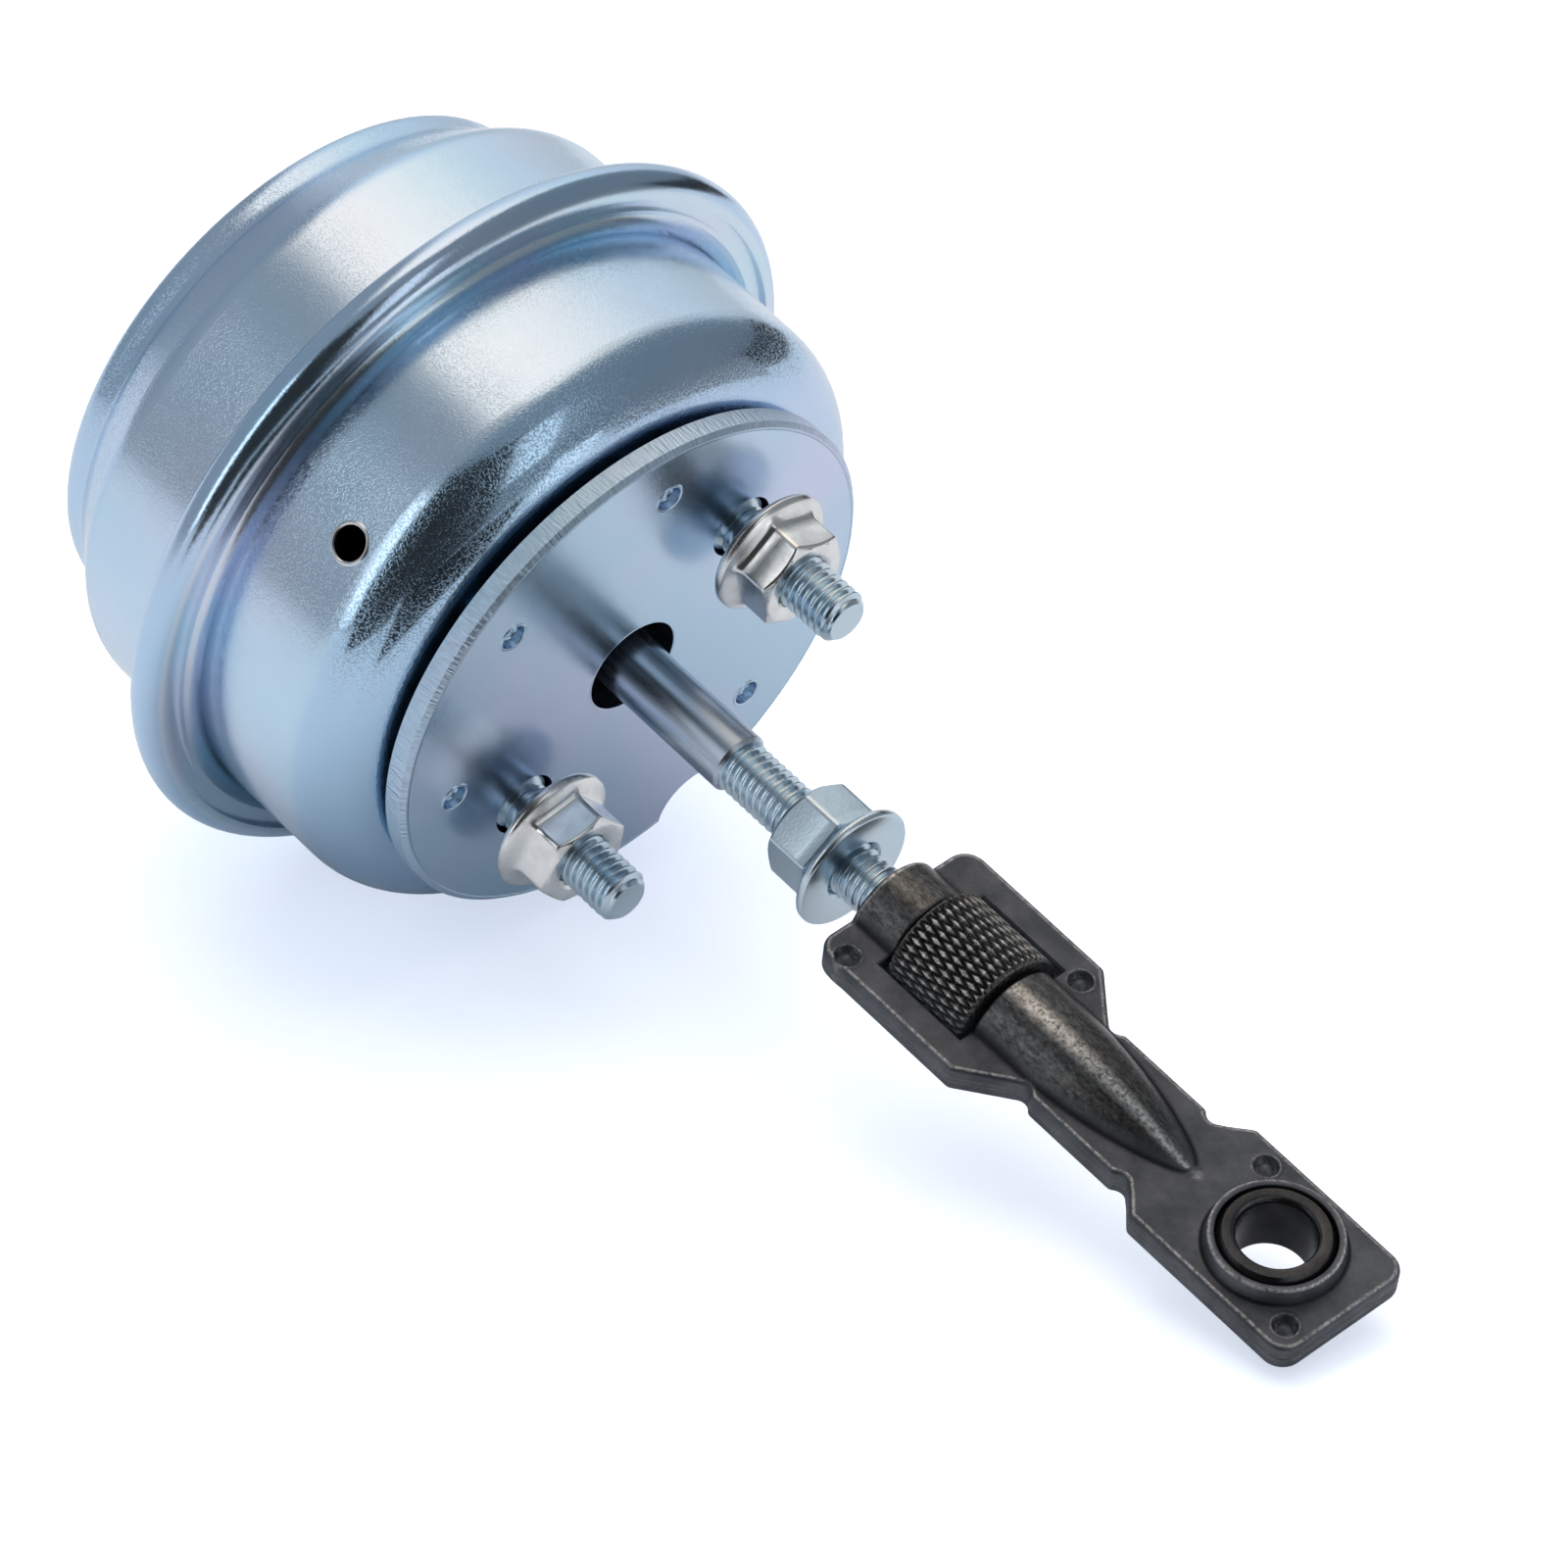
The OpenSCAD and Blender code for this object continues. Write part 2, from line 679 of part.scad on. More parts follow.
// One stamped half of the link, lying above the plane Z = 0
module link_half() {
    window_w = adjuster_r + window_side_gap;
    window_l = adjuster_l + window_end_gap * 2;
    big = link_l * 2;
    difference() {
        union() {
            translate([link_x, 0, 0]) linear_extrude(sheet_t) link_outline();
            barrel(0);
            translate([eye_pos, 0, 0]) cylinder(r = collar_r, h = sheet_t);
            translate([eye_pos, 0, sheet_t])
                cylinder(r1 = collar_r, r2 = collar_r - collar_draft, h = collar_h);
        }
        translate([0, 0, -big / 2]) cube([big * 2, big, big], center = true);
        barrel(sheet_t);
        translate([link_x + window_x, -window_w, -over])
            cube([window_l, window_w * 2, barrel_r * 2]);
        translate([eye_pos, 0, 0]) sphere(r = ball_r + ball_gap);
    }
}

// Places each clinched joint on the link
module at_clinches() {
    for (p = clinches)
        translate([link_x + p[0], p[1], 0]) children();
}

module upper_link_plate() {
    color(black) difference() {
        link_half();
        at_clinches() translate([0, 0, -over]) cylinder(r = clinch_r, h = sheet_t + over * 2);
    }
}

module lower_link_plate() {
    pin_r = clinch_r * 0.72;
    color(black) difference() {
        union() {
            mirror([0, 0, 1]) link_half();
            at_clinches() translate([0, 0, -sheet_t / 2])
                cylinder(r = pin_r, h = sheet_t * 1.3);
        }
        at_clinches() translate([0, 0, -sheet_t - over])
            cylinder(r = pin_r, h = sheet_t * 0.7 + over);
    }
}

// Swivel ball of the eye, bored for the lever pin
module swivel_ball() {
    bevel = 0.3;
    color(black) translate([eye_pos, 0, 0]) difference() {
        sphere(r = ball_r);
        for (s = [-1, 1]) {
            translate([0, 0, s * (ball_w / 2 + ball_r)])
                cube(ball_r * 2, center = true);
            mirror([0, 0, s < 0 ? 1 : 0]) translate([0, 0, ball_w / 2 - bevel])
                cylinder(r1 = eye_bore_r, r2 = eye_bore_r + bevel * 2, h = bevel * 2);
        }
        cylinder(r = eye_bore_r, h = ball_w * 2, center = true);
    }
}

rear_can();
front_can();
mounting_plate();
mounting_studs();
stud_nuts();
diaphragm();
piston_cup();
retainer_plate();
rivet_washer();
return_spring();
spring_seat();
guide_bush();
rod_seal();
vacuum_nipple();
actuator_rod();
lock_nut();
knurled_adjuster();
upper_link_plate();
lower_link_plate();
swivel_ball();
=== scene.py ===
# %% [markdown]
# # A vacuum actuator for a turbocharger
# A crimped can holds a rubber diaphragm and a spring. Vacuum pulls the rod into the can, and a
# black stamped link on the rod's thread carries that motion to a lever. This lesson dresses the
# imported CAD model: a piece that needs finer shape is worked out as a numpy surface in the same
# place, and every piece gets a finish made from nodes.
#
# The X axis is the rod, X = 0 is the mounting plate's front face, and Z is the eye's bore.

# %% Load the frame
import bpy
import bmesh
import numpy as np
from mathutils import Matrix


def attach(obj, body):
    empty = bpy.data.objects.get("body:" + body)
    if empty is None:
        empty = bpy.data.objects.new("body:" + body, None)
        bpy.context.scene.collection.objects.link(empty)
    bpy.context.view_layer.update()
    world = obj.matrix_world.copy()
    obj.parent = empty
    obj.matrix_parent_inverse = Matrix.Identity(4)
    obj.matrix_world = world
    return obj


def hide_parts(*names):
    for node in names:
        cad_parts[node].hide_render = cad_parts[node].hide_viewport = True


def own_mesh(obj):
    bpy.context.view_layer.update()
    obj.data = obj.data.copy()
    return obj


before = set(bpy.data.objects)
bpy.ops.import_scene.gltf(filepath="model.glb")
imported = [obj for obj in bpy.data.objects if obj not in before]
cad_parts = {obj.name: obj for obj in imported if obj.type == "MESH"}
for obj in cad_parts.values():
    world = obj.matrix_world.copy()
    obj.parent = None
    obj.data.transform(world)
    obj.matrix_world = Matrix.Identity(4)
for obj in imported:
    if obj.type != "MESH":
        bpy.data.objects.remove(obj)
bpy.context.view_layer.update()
MM = 0.001
TURN = 2 * np.pi

# %% [markdown]
# ## Grids become surfaces
# Every new piece here is one or more grids of points. A grid could be turned into faces by a loop
# over its cells, but whole-array index sums do it at once. Points that meet are merged
# afterwards, so each piece closes into a solid, whose faces are turned outwards.

# %% Helpers: cells of a grid, and a piece from grids
MERGE_GAP, SHORT_EDGE = 0.002 * MM, 0.001 * MM


def cells(rows, cols, start, keep=None):
    """The four corners of each cell between neighbouring rows and columns, as point numbers."""
    i, j = np.meshgrid(np.arange(rows - 1), np.arange(cols - 1), indexing="ij")
    corner = start + i * cols + j
    quads = np.stack([corner, corner + 1, corner + cols + 1, corner + cols], axis=-1)
    return quads[keep] if keep is not None else quads.reshape(-1, 4)


def piece(name, grids, finish, body, stands_for=(), sharp=32.0):
    """Joins grids of points in mm into one mesh in metres. A grid is an array of rows, columns
    and X Y Z, or a pair of that and a mask of the cells that are kept. A fourth number after
    X Y Z marks the surface there, from -1 for a darker corner or groove, in part painted shade,
    to 1 for a lighter edge or crest, in part wear and in part a painted highlight.
    Faces that meet at more than the sharp angle, in degrees, keep a crisp edge."""
    points, faces, start = [], [], 0
    for grid in grids:
        grid, keep = grid if isinstance(grid, tuple) else (grid, None)
        rows, cols = grid.shape[:2]
        points.append(grid.reshape(rows * cols, -1))
        faces.append(cells(rows, cols, start, keep))
        start += rows * cols
    mesh = bpy.data.meshes.new(name)
    points = np.concatenate(points)
    mesh.from_pydata(points[:, :3] * MM, [], np.concatenate(faces))
    if points.shape[1] > 3:
        light_and_wear_layer = mesh.attributes.new("wear_and_painted_light", "FLOAT", "POINT")
        light_and_wear_layer.data.foreach_set("value", points[:, 3].copy())
    work = bmesh.new()
    work.from_mesh(mesh)
    bmesh.ops.remove_doubles(work, verts=work.verts, dist=MERGE_GAP)
    bmesh.ops.dissolve_degenerate(work, edges=work.edges, dist=SHORT_EDGE)
    loose = [v for v in work.verts if not v.link_faces]
    bmesh.ops.delete(work, geom=loose, context="VERTS")
    bmesh.ops.recalc_face_normals(work, faces=work.faces)
    open_edges = sum(not e.is_manifold for e in work.edges)
    if work.calc_volume(signed=True) < 0:
        bmesh.ops.reverse_faces(work, faces=work.faces)
    work.to_mesh(mesh)
    work.free()
    mesh.polygons.foreach_set("use_smooth", np.ones(len(mesh.polygons), dtype=bool))
    mesh.set_sharp_from_angle(angle=np.radians(sharp))
    thing = bpy.data.objects.new(name, mesh)
    bpy.context.scene.collection.objects.link(thing)
    thing.data.materials.append(finish)
    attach(thing, body)
    if stands_for:
        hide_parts(*stands_for)
    print(f"{name}: {len(mesh.polygons)} faces, {open_edges} open edges")
    return thing


def points_of(*numbers):
    """Points from arrays of their numbers, such as X, Y and Z."""
    return np.stack(np.broadcast_arrays(*numbers), axis=-1)


def round_x(x, r, turn):
    """Points at those places along the X axis, distances from it and angles round it."""
    return points_of(x, r * np.cos(turn), r * np.sin(turn))


def lathe(profile, cols=160):
    """Carries a profile of X and radius round the X axis, one full turn of columns."""
    x, r = np.asarray(profile, dtype=float).T
    turn = np.linspace(0, TURN, cols + 1)
    turn[-1] = 0
    return round_x(x[:, None], r[:, None], turn)


def rounded(corners, step=9.0):
    """A path of X and radius through corners X, radius, bend: each bend is an arc that touches
    both its sides, drawn in steps of that many degrees."""
    corners = np.asarray(corners, dtype=float)
    path = []
    for i, (x, r, bend) in enumerate(corners):
        here = np.array([x, r])
        if bend <= 0 or i in (0, len(corners) - 1):
            path.append(here[None])
            continue
        a = corners[i - 1, :2] - here
        b = corners[i + 1, :2] - here
        a, b = a / np.linalg.norm(a), b / np.linalg.norm(b)
        half = np.arccos(np.clip(a @ b, -1, 1)) / 2
        centre = here + (a + b) / np.linalg.norm(a + b) * bend / np.sin(half)
        p, q = here + a * bend / np.tan(half) - centre, here + b * bend / np.tan(half) - centre
        sweep = np.pi - 2 * half
        t = np.linspace(0, 1, max(2, int(np.degrees(sweep) / step) + 2))[:, None]
        path.append(centre + (np.sin((1 - t) * sweep) * p + np.sin(t * sweep) * q) / np.sin(sweep))
    return np.concatenate(path)


print("helpers: cells, piece, points_of, round_x, lathe, rounded")

# %% [markdown]
# ## Finishes
# A finish is a node tree round one Principled shader. The helper below keeps each recipe short:
# a node is named by its type, and its sockets take a number, a colour or another node's output.
# All patterns read Object coordinates in metres, so they stay on the piece from any side.

# %% Helper: a finish as a short recipe
class Finish:
    """A material under construction, with its Principled shader and Object coordinates."""

    def __init__(self, name, **shader):
        self.material = bpy.data.materials.new(name)
        self.material.use_nodes = True
        self.tree = self.material.node_tree
        self.shader = self.tree.nodes["Principled BSDF"]
        self.place = self.add("TexCoord").outputs["Object"]
        self.done(**shader)

    def set(self, node, sockets):
        """Sets sockets, by name or number, to a value or links them to another node's output."""
        for key, value in sockets.items():
            socket = node.inputs[key]
            if isinstance(value, bpy.types.NodeSocket):
                self.tree.links.new(value, socket)
            else:
                socket.default_value = value
        return node

    def add(self, kind, sockets=None, **settings):
        """A new node of that kind, with its settings made before its sockets."""
        node = self.tree.nodes.new("ShaderNode" + kind)
        for key, value in settings.items():
            setattr(node, key, value)
        return self.set(node, sockets or {})

    def noise(self, per_mm, detail=3.0, stretch=None, rough=0.55):
        """Soft random values from 0 to 1, with that many features to a millimetre."""
        place = self.place
        if stretch:
            place = self.add("Mapping", {"Vector": place, "Scale": stretch}).outputs["Vector"]
        return self.add("TexNoise", {
            "Vector": place, "Scale": per_mm / MM, "Detail": detail,
            "Roughness": rough}).outputs["Fac"]

    def sums(self, operation, a, b=0.0):
        """One sum of two values, such as MULTIPLY or MAXIMUM."""
        return self.add("Math", {0: a, 1: b}, operation=operation).outputs[0]

    def more(self, a, b, share):
        """One value and a share of another, which may be negative."""
        return self.sums("ADD", a, self.sums("MULTIPLY", b, share))

    def round_rod(self):
        """Place along the rod, distance from it and angle round it, in metres and radians."""
        x, y, z = self.add("SeparateXYZ", {0: self.place}).outputs
        squares = [self.sums("MULTIPLY", side, side) for side in (y, z)]
        return x, self.sums("SQRT", self.sums("ADD", *squares)), self.sums("ARCTAN2", z, y)

    def band(self, value, low, high, soft):
        """1 between low and high, falling to 0 over the soft width outside them."""
        fall = self.ramp(value, high, high + soft, 1.0, 0.0)
        return self.sums("MULTIPLY", self.ramp(value, low - soft, low), fall)

    def ramp(self, value, low, high, out_low=0.0, out_high=1.0):
        """Carries low..high to out_low..out_high, and holds the ends."""
        return self.add("MapRange", {
            "Value": value, "From Min": low, "From Max": high,
            "To Min": out_low, "To Max": out_high}).outputs["Result"]

    def spread(self, noise, low, high):
        """Carries noise to low..high. Most of it lies between 0.3 and 0.7."""
        return self.ramp(noise, 0.3, 0.7, low, high)

    def mix(self, amount, a, b):
        """A colour between a and b. In the node's list they are inputs 6 and 7 and output 2."""
        return self.add("Mix", {0: amount, 6: a, 7: b}, data_type="RGBA").outputs[2]

    def bump(self, height, depth_mm, strength=1.0, under=None):
        """Tilts the surface as if height raised it by that depth."""
        sockets = {"Height": height, "Distance": depth_mm * MM, "Strength": strength}
        if under is not None:
            sockets["Normal"] = under
        return self.add("Bump", sockets).outputs["Normal"]

    def surface(self, shader):
        """Makes that shader the one the material shows."""
        out = self.tree.nodes["Material Output"]
        self.tree.links.new(shader.outputs[0], out.inputs["Surface"])

    def done(self, **sockets):
        """Sets the shader's sockets, with _ for a space, and gives the material."""
        self.set(self.shader, {key.replace("_", " "): value for key, value in sockets.items()})
        return self.material


print("helper: Finish")

# %% [markdown]
# ### Blue zinc on drawn sheet
# The cans are drawn from sheet, so their skin is finely pebbled by the steel's stretched grain,
# and bright zinc with a blue passivation lies over it. The colour belongs to the metal's own
# reflection, so it is the base colour of a full metal, and the film is thicker and bluer in the
# groove of the rim. Noise straight into a bump would look hammered, so only its peaks are kept:
# small specks sparkle in the dark parts and the rest stays calm.

# %% Finish: zinc sheet
FILM_CYAN, FILM_BLUE = (0.70, 0.88, 0.97, 1), (0.82, 0.86, 0.97, 1)
GRAINS_PER_MM, GRAIN_PEAKS = 4.4, (0.50, 0.76)
SHEARS_PER_RADIAN, SHEARS_PER_M = 90.0, 500.0


def blue_zinc(name, tone, tint, grain, roughness, groove=None, bend=None, cut_edge=None):
    """Distances from the rod in mm: the groove, with its strength, is bluer and duller, the bend
    has deeper specks and more gloss, and outside cut_edge the shears left marks."""
    zinc = Finish(name, Metallic=1.0)
    x, r, angle = zinc.round_rod()
    patch = zinc.noise(0.035, detail=2.0)
    colour = zinc.mix(zinc.ramp(patch, 0.42, 0.66), tone, tint)
    cloudy = zinc.noise(0.25, detail=4.0)
    rough = zinc.spread(cloudy, *roughness)
    if groove:
        inner, outer, strength = groove
        film = zinc.sums("MULTIPLY", zinc.band(r, inner * MM, outer * MM, 0.4 * MM), strength)
        hue = zinc.ramp(zinc.noise(0.05, detail=1.0), 0.42, 0.58)
        colour = zinc.mix(film, colour, zinc.mix(hue, FILM_CYAN, FILM_BLUE))
        rough = zinc.more(rough, film, 0.12)
    fine = zinc.ramp(zinc.noise(GRAINS_PER_MM, detail=2.0, rough=0.7), *GRAIN_PEAKS)
    if bend:
        stretched = zinc.band(r, bend[0] * MM, bend[1] * MM, 0.8 * MM)
        fine = zinc.sums("MULTIPLY", fine, zinc.more(1.0, stretched, 1.8))
        rough = zinc.more(rough, stretched, -0.06)
    skin = zinc.bump(fine, grain, 1.0, zinc.bump(cloudy, 0.02, 0.25))
    if cut_edge:
        unrolled = zinc.add("CombineXYZ", {
            "X": zinc.sums("MULTIPLY", angle, SHEARS_PER_RADIAN),
            "Y": zinc.sums("MULTIPLY", x, SHEARS_PER_M)})
        shear = zinc.add("TexNoise", {"Vector": unrolled.outputs[0], "Scale": 1.0, "Detail": 3.0})
        wall = zinc.band(r, cut_edge * MM, 1.0, 0.15 * MM)
        skin = zinc.bump(zinc.sums("MULTIPLY", shear.outputs["Fac"], wall), 0.22, 1.0, skin)
        rough = zinc.more(rough, wall, 0.12)
    return zinc.done(Base_Color=colour, Roughness=rough, Normal=skin)


zinc_sheet = blue_zinc(
    "zinc_sheet", (0.485, 0.69, 0.90, 1), (0.59, 0.725, 0.93, 1), 0.006, (0.13, 0.19),
    groove=(36.6, 41.2, 0.75), bend=(29.5, 35.9))
zinc_plate = blue_zinc(
    "zinc_plate", (0.54, 0.72, 0.88, 1), (0.65, 0.72, 0.91, 1), 0.007, (0.19, 0.26), cut_edge=29.9)
zinc_thread = blue_zinc(
    "zinc_thread", (0.56, 0.70, 0.80, 1), (0.66, 0.76, 0.84, 1), 0.006, (0.18, 0.28))
print("finishes: zinc_sheet, zinc_plate, zinc_thread")

# %% [markdown]
# ### The other metals
# The stud nuts have a bright plating without the blue, a little stained, and the rod is drawn bar
# with grain along its length. A picture of streaks could show that grain, but noise stretched
# along X needs none. Pressed steel pieces inside the can are plain.

# %% Finishes: nickel, drawn rod, plain and spring steel
def grained(name, low, high, roughness, bump, contrast=None, metallic=1.0, **grain):
    """Colour, gloss and height follow one grain of noise. The colour changes over the contrast,
    and the bump is a depth in mm and a strength."""
    finish = Finish(name, Metallic=metallic)
    grain = finish.noise(**grain)
    share = finish.ramp(grain, *contrast) if contrast else grain
    return finish.done(
        Base_Color=finish.mix(share, low, high), Roughness=finish.spread(grain, *roughness),
        Normal=finish.bump(grain, *bump))


nickel = grained(
    "nickel", (0.85, 0.865, 0.87, 1), (0.74, 0.75, 0.76, 1), (0.17, 0.30), (0.012, 0.4),
    (0.42, 0.7), per_mm=0.5, detail=5.0, rough=0.65)
rod_zinc = grained(
    "rod_zinc", (0.40, 0.47, 0.56, 1), (0.60, 0.68, 0.78, 1), (0.26, 0.36), (0.01, 0.6),
    (0.35, 0.65), per_mm=1.6, detail=4.0, stretch=(0.04, 1.0, 1.0))
bare_steel, spring_steel = (
    grained(name, tone, (0.62, 0.62, 0.62, 1), roughness, (0.01, 0.5), per_mm=0.8, detail=5.0)
    for name, tone, roughness in (
        ("bare_steel", (0.45, 0.46, 0.47, 1), (0.3, 0.42)),
        ("spring_steel", (0.22, 0.23, 0.24, 1), (0.32, 0.44))))
print("finishes: nickel, rod_zinc, bare_steel, spring_steel")

# %% [markdown]
# ### Black phosphate, plastic and rubber
# Phosphate is a thin dark crystalline layer, oiled, so the steel under it still gives a dull
# shine. Worn edges turn lighter, and lighter lines are also painted where light catches the
# barrel's top, the link's rounded edges and the knurl's crests: painted highlights. Corners are
# darker, and in the knurl's grooves that is painted shade. Pointiness could find these places,
# but only on a mesh of even cells, so each surface function gives its own number instead.
# The drawn barrel was burnished by its die: above the plate the coat is glossier, grainier and
# lighter in patches.

# %% Finishes: phosphate, black plastic, rubber
# The grey is worn steel and painted highlight; the black is plastic and rubber, and painted shade
# on the phosphate.
DEEP_BLACK, WORN_AND_HIGHLIGHT_GREY = (0.012, 0.012, 0.013, 1), (0.66, 0.655, 0.65, 1)
BARREL_DARK, BARREL_LIGHT = (0.050, 0.050, 0.052, 1), (0.17, 0.17, 0.168, 1)


def phosphate_coat(name, dark, light, burnished=None, roughness=(0.44, 0.60)):
    """A coat that is patchy from dark to light. Up to the place burnished, in mm, the raised
    barrel is burnished. Marked edges and crests show broken spots of steel, for wear and for
    painted highlights, and marked corners turn black, in the knurl's grooves as painted shade."""
    coat = Finish(name, Metallic=0.9)
    crystal = coat.noise(3.0, detail=4.0, rough=0.7)
    patch = coat.noise(0.3, detail=4.0)
    skin = coat.mix(coat.ramp(patch, 0.35, 0.7), dark, light)
    rough = coat.spread(crystal, *roughness)
    if burnished:
        along, _, up = coat.add("SeparateXYZ", {0: coat.place}).outputs
        streak = coat.noise(2.6, detail=6.0, stretch=(0.45, 1.0, 0.7), rough=0.75)
        raised = coat.ramp(coat.sums("ABSOLUTE", up), 1.8 * MM, 3.2 * MM)
        behind = coat.ramp(along, burnished * MM, (burnished + 1) * MM, 1.0, 0.0)
        drawn = coat.sums("MULTIPLY", raised, behind)
        burnish = coat.mix(coat.ramp(streak, 0.40, 0.64), BARREL_DARK, BARREL_LIGHT)
        skin = coat.mix(drawn, skin, burnish)
        rough = coat.more(rough, drawn, -0.20)
    marking = coat.add("Attribute", attribute_name="wear_and_painted_light").outputs["Fac"]
    spots = coat.ramp(coat.noise(2.2, detail=5.0, rough=0.7), 0.38, 0.60, 0.1, 1.0)
    # Light spots of steel where the mark is high: edge wear, and painted highlights on the barrel's
    # top, the link's rounded edges and the knurl's crests.
    lighter_spots = coat.sums("MULTIPLY", coat.ramp(marking, 0.15, 0.9), spots)
    # Black where the mark is below 0: darker corners, and painted shade in the knurl's grooves.
    skin = coat.mix(coat.ramp(marking, -1.0, 0.0, 0.85, 0.0), skin, DEEP_BLACK)
    return coat.done(
        Base_Color=coat.mix(lighter_spots, skin, WORN_AND_HIGHLIGHT_GREY), Roughness=rough,
        Normal=coat.bump(crystal, 0.03, 0.9))


phosphate = phosphate_coat("phosphate", (0.048, 0.049, 0.053, 1), (0.088, 0.088, 0.092, 1))
phosphate_link = phosphate_coat(
    "phosphate_link", (0.090, 0.098, 0.113, 1), (0.150, 0.160, 0.181, 1), burnished=84.0)
phosphate_ball = phosphate_coat(
    "phosphate_ball", (0.045, 0.046, 0.050, 1), (0.080, 0.081, 0.085, 1), roughness=(0.17, 0.27))
black_plastic = grained(
    "black_plastic", DEEP_BLACK, (0.03, 0.03, 0.032, 1), (0.42, 0.52), (0.02, 0.6),
    metallic=0.0, per_mm=2.0, detail=4.0)
rubber = grained(
    "rubber", DEEP_BLACK, (0.035, 0.034, 0.033, 1), (0.65, 0.75), (0.02, 0.6),
    metallic=0.0, per_mm=1.2, detail=4.0)

for finish, nodes in (
        (zinc_sheet, "rear_can front_can"), (zinc_plate, "mounting_plate"),
        (bare_steel, "piston_cup retainer_plate rivet_washer spring_seat vacuum_nipple"),
        (spring_steel, "return_spring"), (rubber, "diaphragm rod_seal"),
        (black_plastic, "guide_bush"),
        (phosphate, "upper_link_plate lower_link_plate swivel_ball")):
    for node in nodes.split():
        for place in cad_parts[node].material_slots:
            place.material = finish
print("finishes: phosphate, black_plastic, rubber, and the CAD nodes' slots")

# %% [markdown]
# ## Threads
# A rolled thread could be cut with a screw modifier, but a grid that is sheared along the helix
# gives crisp crests from few faces. One number goes round the bolt and the other counts turns of
# the thread, so X is their sum times the pitch. Near each end the radius is held under an
# envelope, a cone at the tip and a bevel at the root, so the thread runs out as on a real bolt.

# %% A threaded bar as a function
PITCH = 1.0
CREST, ROOT = 3.02, 2.44
FLATTEN = 1.5


def threaded(x0, x1, start, before=(), after=(), cols=48, per_turn=10):
    """X is x0 plus the pitch times turns and part turns, held between x0 and x1. The radius
    swings between root and crest as a flattened cosine, and the envelope start[x], start[r]
    holds it down near the ends. Plain rings go before and after."""
    turn = np.linspace(0, TURN, cols + 1)
    count = int((x1 - x0) / PITCH) + 2
    phase = np.arange(-per_turn, count * per_turn) / per_turn
    x = np.clip(x0 + PITCH * (phase[:, None] + turn / TURN), x0, x1)
    wave = np.tanh(FLATTEN * np.cos(TURN * phase)) / np.tanh(FLATTEN)
    r = (CREST + ROOT) / 2 + (CREST - ROOT) / 2 * wave[:, None]
    r = np.minimum(r, np.interp(x, *start))
    turn[-1] = 0
    return [round_x(x, r, turn)] + [lathe(p, cols) for p in (before, after) if len(p)]

# %% Studs and rod
def shifted(grids, centre=(0, 0), mirror_x=None):
    """Moves grids across the rod, and can turn them end for end about a place on X."""
    moved = []
    for grid in grids:
        grid = grid.copy()
        grid[..., 1:] += centre
        if mirror_x is not None:
            grid[..., 0] = mirror_x - grid[..., 0]
        moved.append(grid)
    return moved


def on_circle(radius, degrees):
    """Places across the rod, at that distance from it and those angles from +Y."""
    a = np.radians(degrees)
    return radius * points_of(np.cos(a), np.sin(a))


STUD_PLACES = on_circle(18.2, [41.5, 221.5])
stud_foot = rounded([
    (-6.6, 0, 0), (-6.6, 5, 0.4), (-4.6, 5, 0.4), (-4.6, 3.3, 0), (-0.6, 3.3, 0), (0.0, 2.4, 0)])
stud_tip = rounded([(16.2, 2.25, 0), (16.2, 2.1, 0), (16.14, 1.9, 0), (16.14, 0, 0)])
stud_ends = ([0.0, 0.6, 15.3, 16.2], [2.4, 3.1, 3.1, 2.25])
stud = threaded(0.0, 16.2, stud_ends, stud_foot, stud_tip)
studs = [grid for centre in STUD_PLACES for grid in shifted(stud, centre)]
piece("studs", studs, zinc_thread, "actuator", ["mounting_studs"])

rod_back = rounded([
    (-15.3, 0, 0), (-15.3, 2.4, 0), (-14.6, 3.9, 0.3), (-13.8, 3.9, 0), (-13.8, 2.5, 0),
    (-8.55, 2.5, 0), (-8.55, 3.425, 0.1), (16.4, 3.425, 0.2), (16.8, 3.05, 0)])
rod_tip, rod_root = [(62.0, 2.0), (62.0, 0.0)], [(16.3, 0.0), (16.3, 2.4)]
rod_ends = ([16.3, 16.8, 61.2, 62.0], [2.4, 3.1, 3.1, 2.0])
rod_front = threaded(16.3, 62.0, rod_ends, rod_root, rod_tip)
piece("rod", [lathe(np.concatenate([rod_back, [(16.8, 0.0)]]))], rod_zinc, "rod")
piece("rod_thread", rod_front, zinc_thread, "rod", ["actuator_rod"])

# %% [markdown]
# ## Weld dimples
# Six dimples hold the plate to the can by projection welds. The CAD has plain round pits, so each
# gets a dished lining with a proud lip and a small boss, one profile carried round its own axis.

# %% Weld dimples
dish = lathe(rounded([
    (-1.39, 0, 0), (-1.39, 1.46, 0), (-0.02, 1.46, 0), (-0.02, 1.80, 0), (0.10, 1.66, 0.08),
    (0.04, 1.42, 0.1), (-1.0, 1.22, 0.25), (-1.1, 0.60, 0.1), (-0.55, 0.42, 0.2),
    (-0.45, 0, 0)]), 48)
WELD_PLACES = on_circle(23.8, [83, 136, 189, 263, 316, 9])
dimples = [grid for centre in WELD_PLACES for grid in shifted([dish], centre)]
piece("weld_dimples", dimples, zinc_plate, "actuator")

# %% [markdown]
# ## The rod hole's edge
# Punching leaves a small bright roll round the plate's centre hole. It is a thin closed ring on
# the edge, because the CAD's sharp edge has no width to catch the light.

# %% Rod hole edge
HOLE_R, ROLL = 5.65, 0.15
side = np.radians(np.linspace(0, 360, 13))
hole_roll = lathe(points_of(-0.1 + ROLL * np.cos(side), HOLE_R + ROLL * np.sin(side)))
piece("rod_hole_edge", [hole_roll], zinc_plate, "actuator")
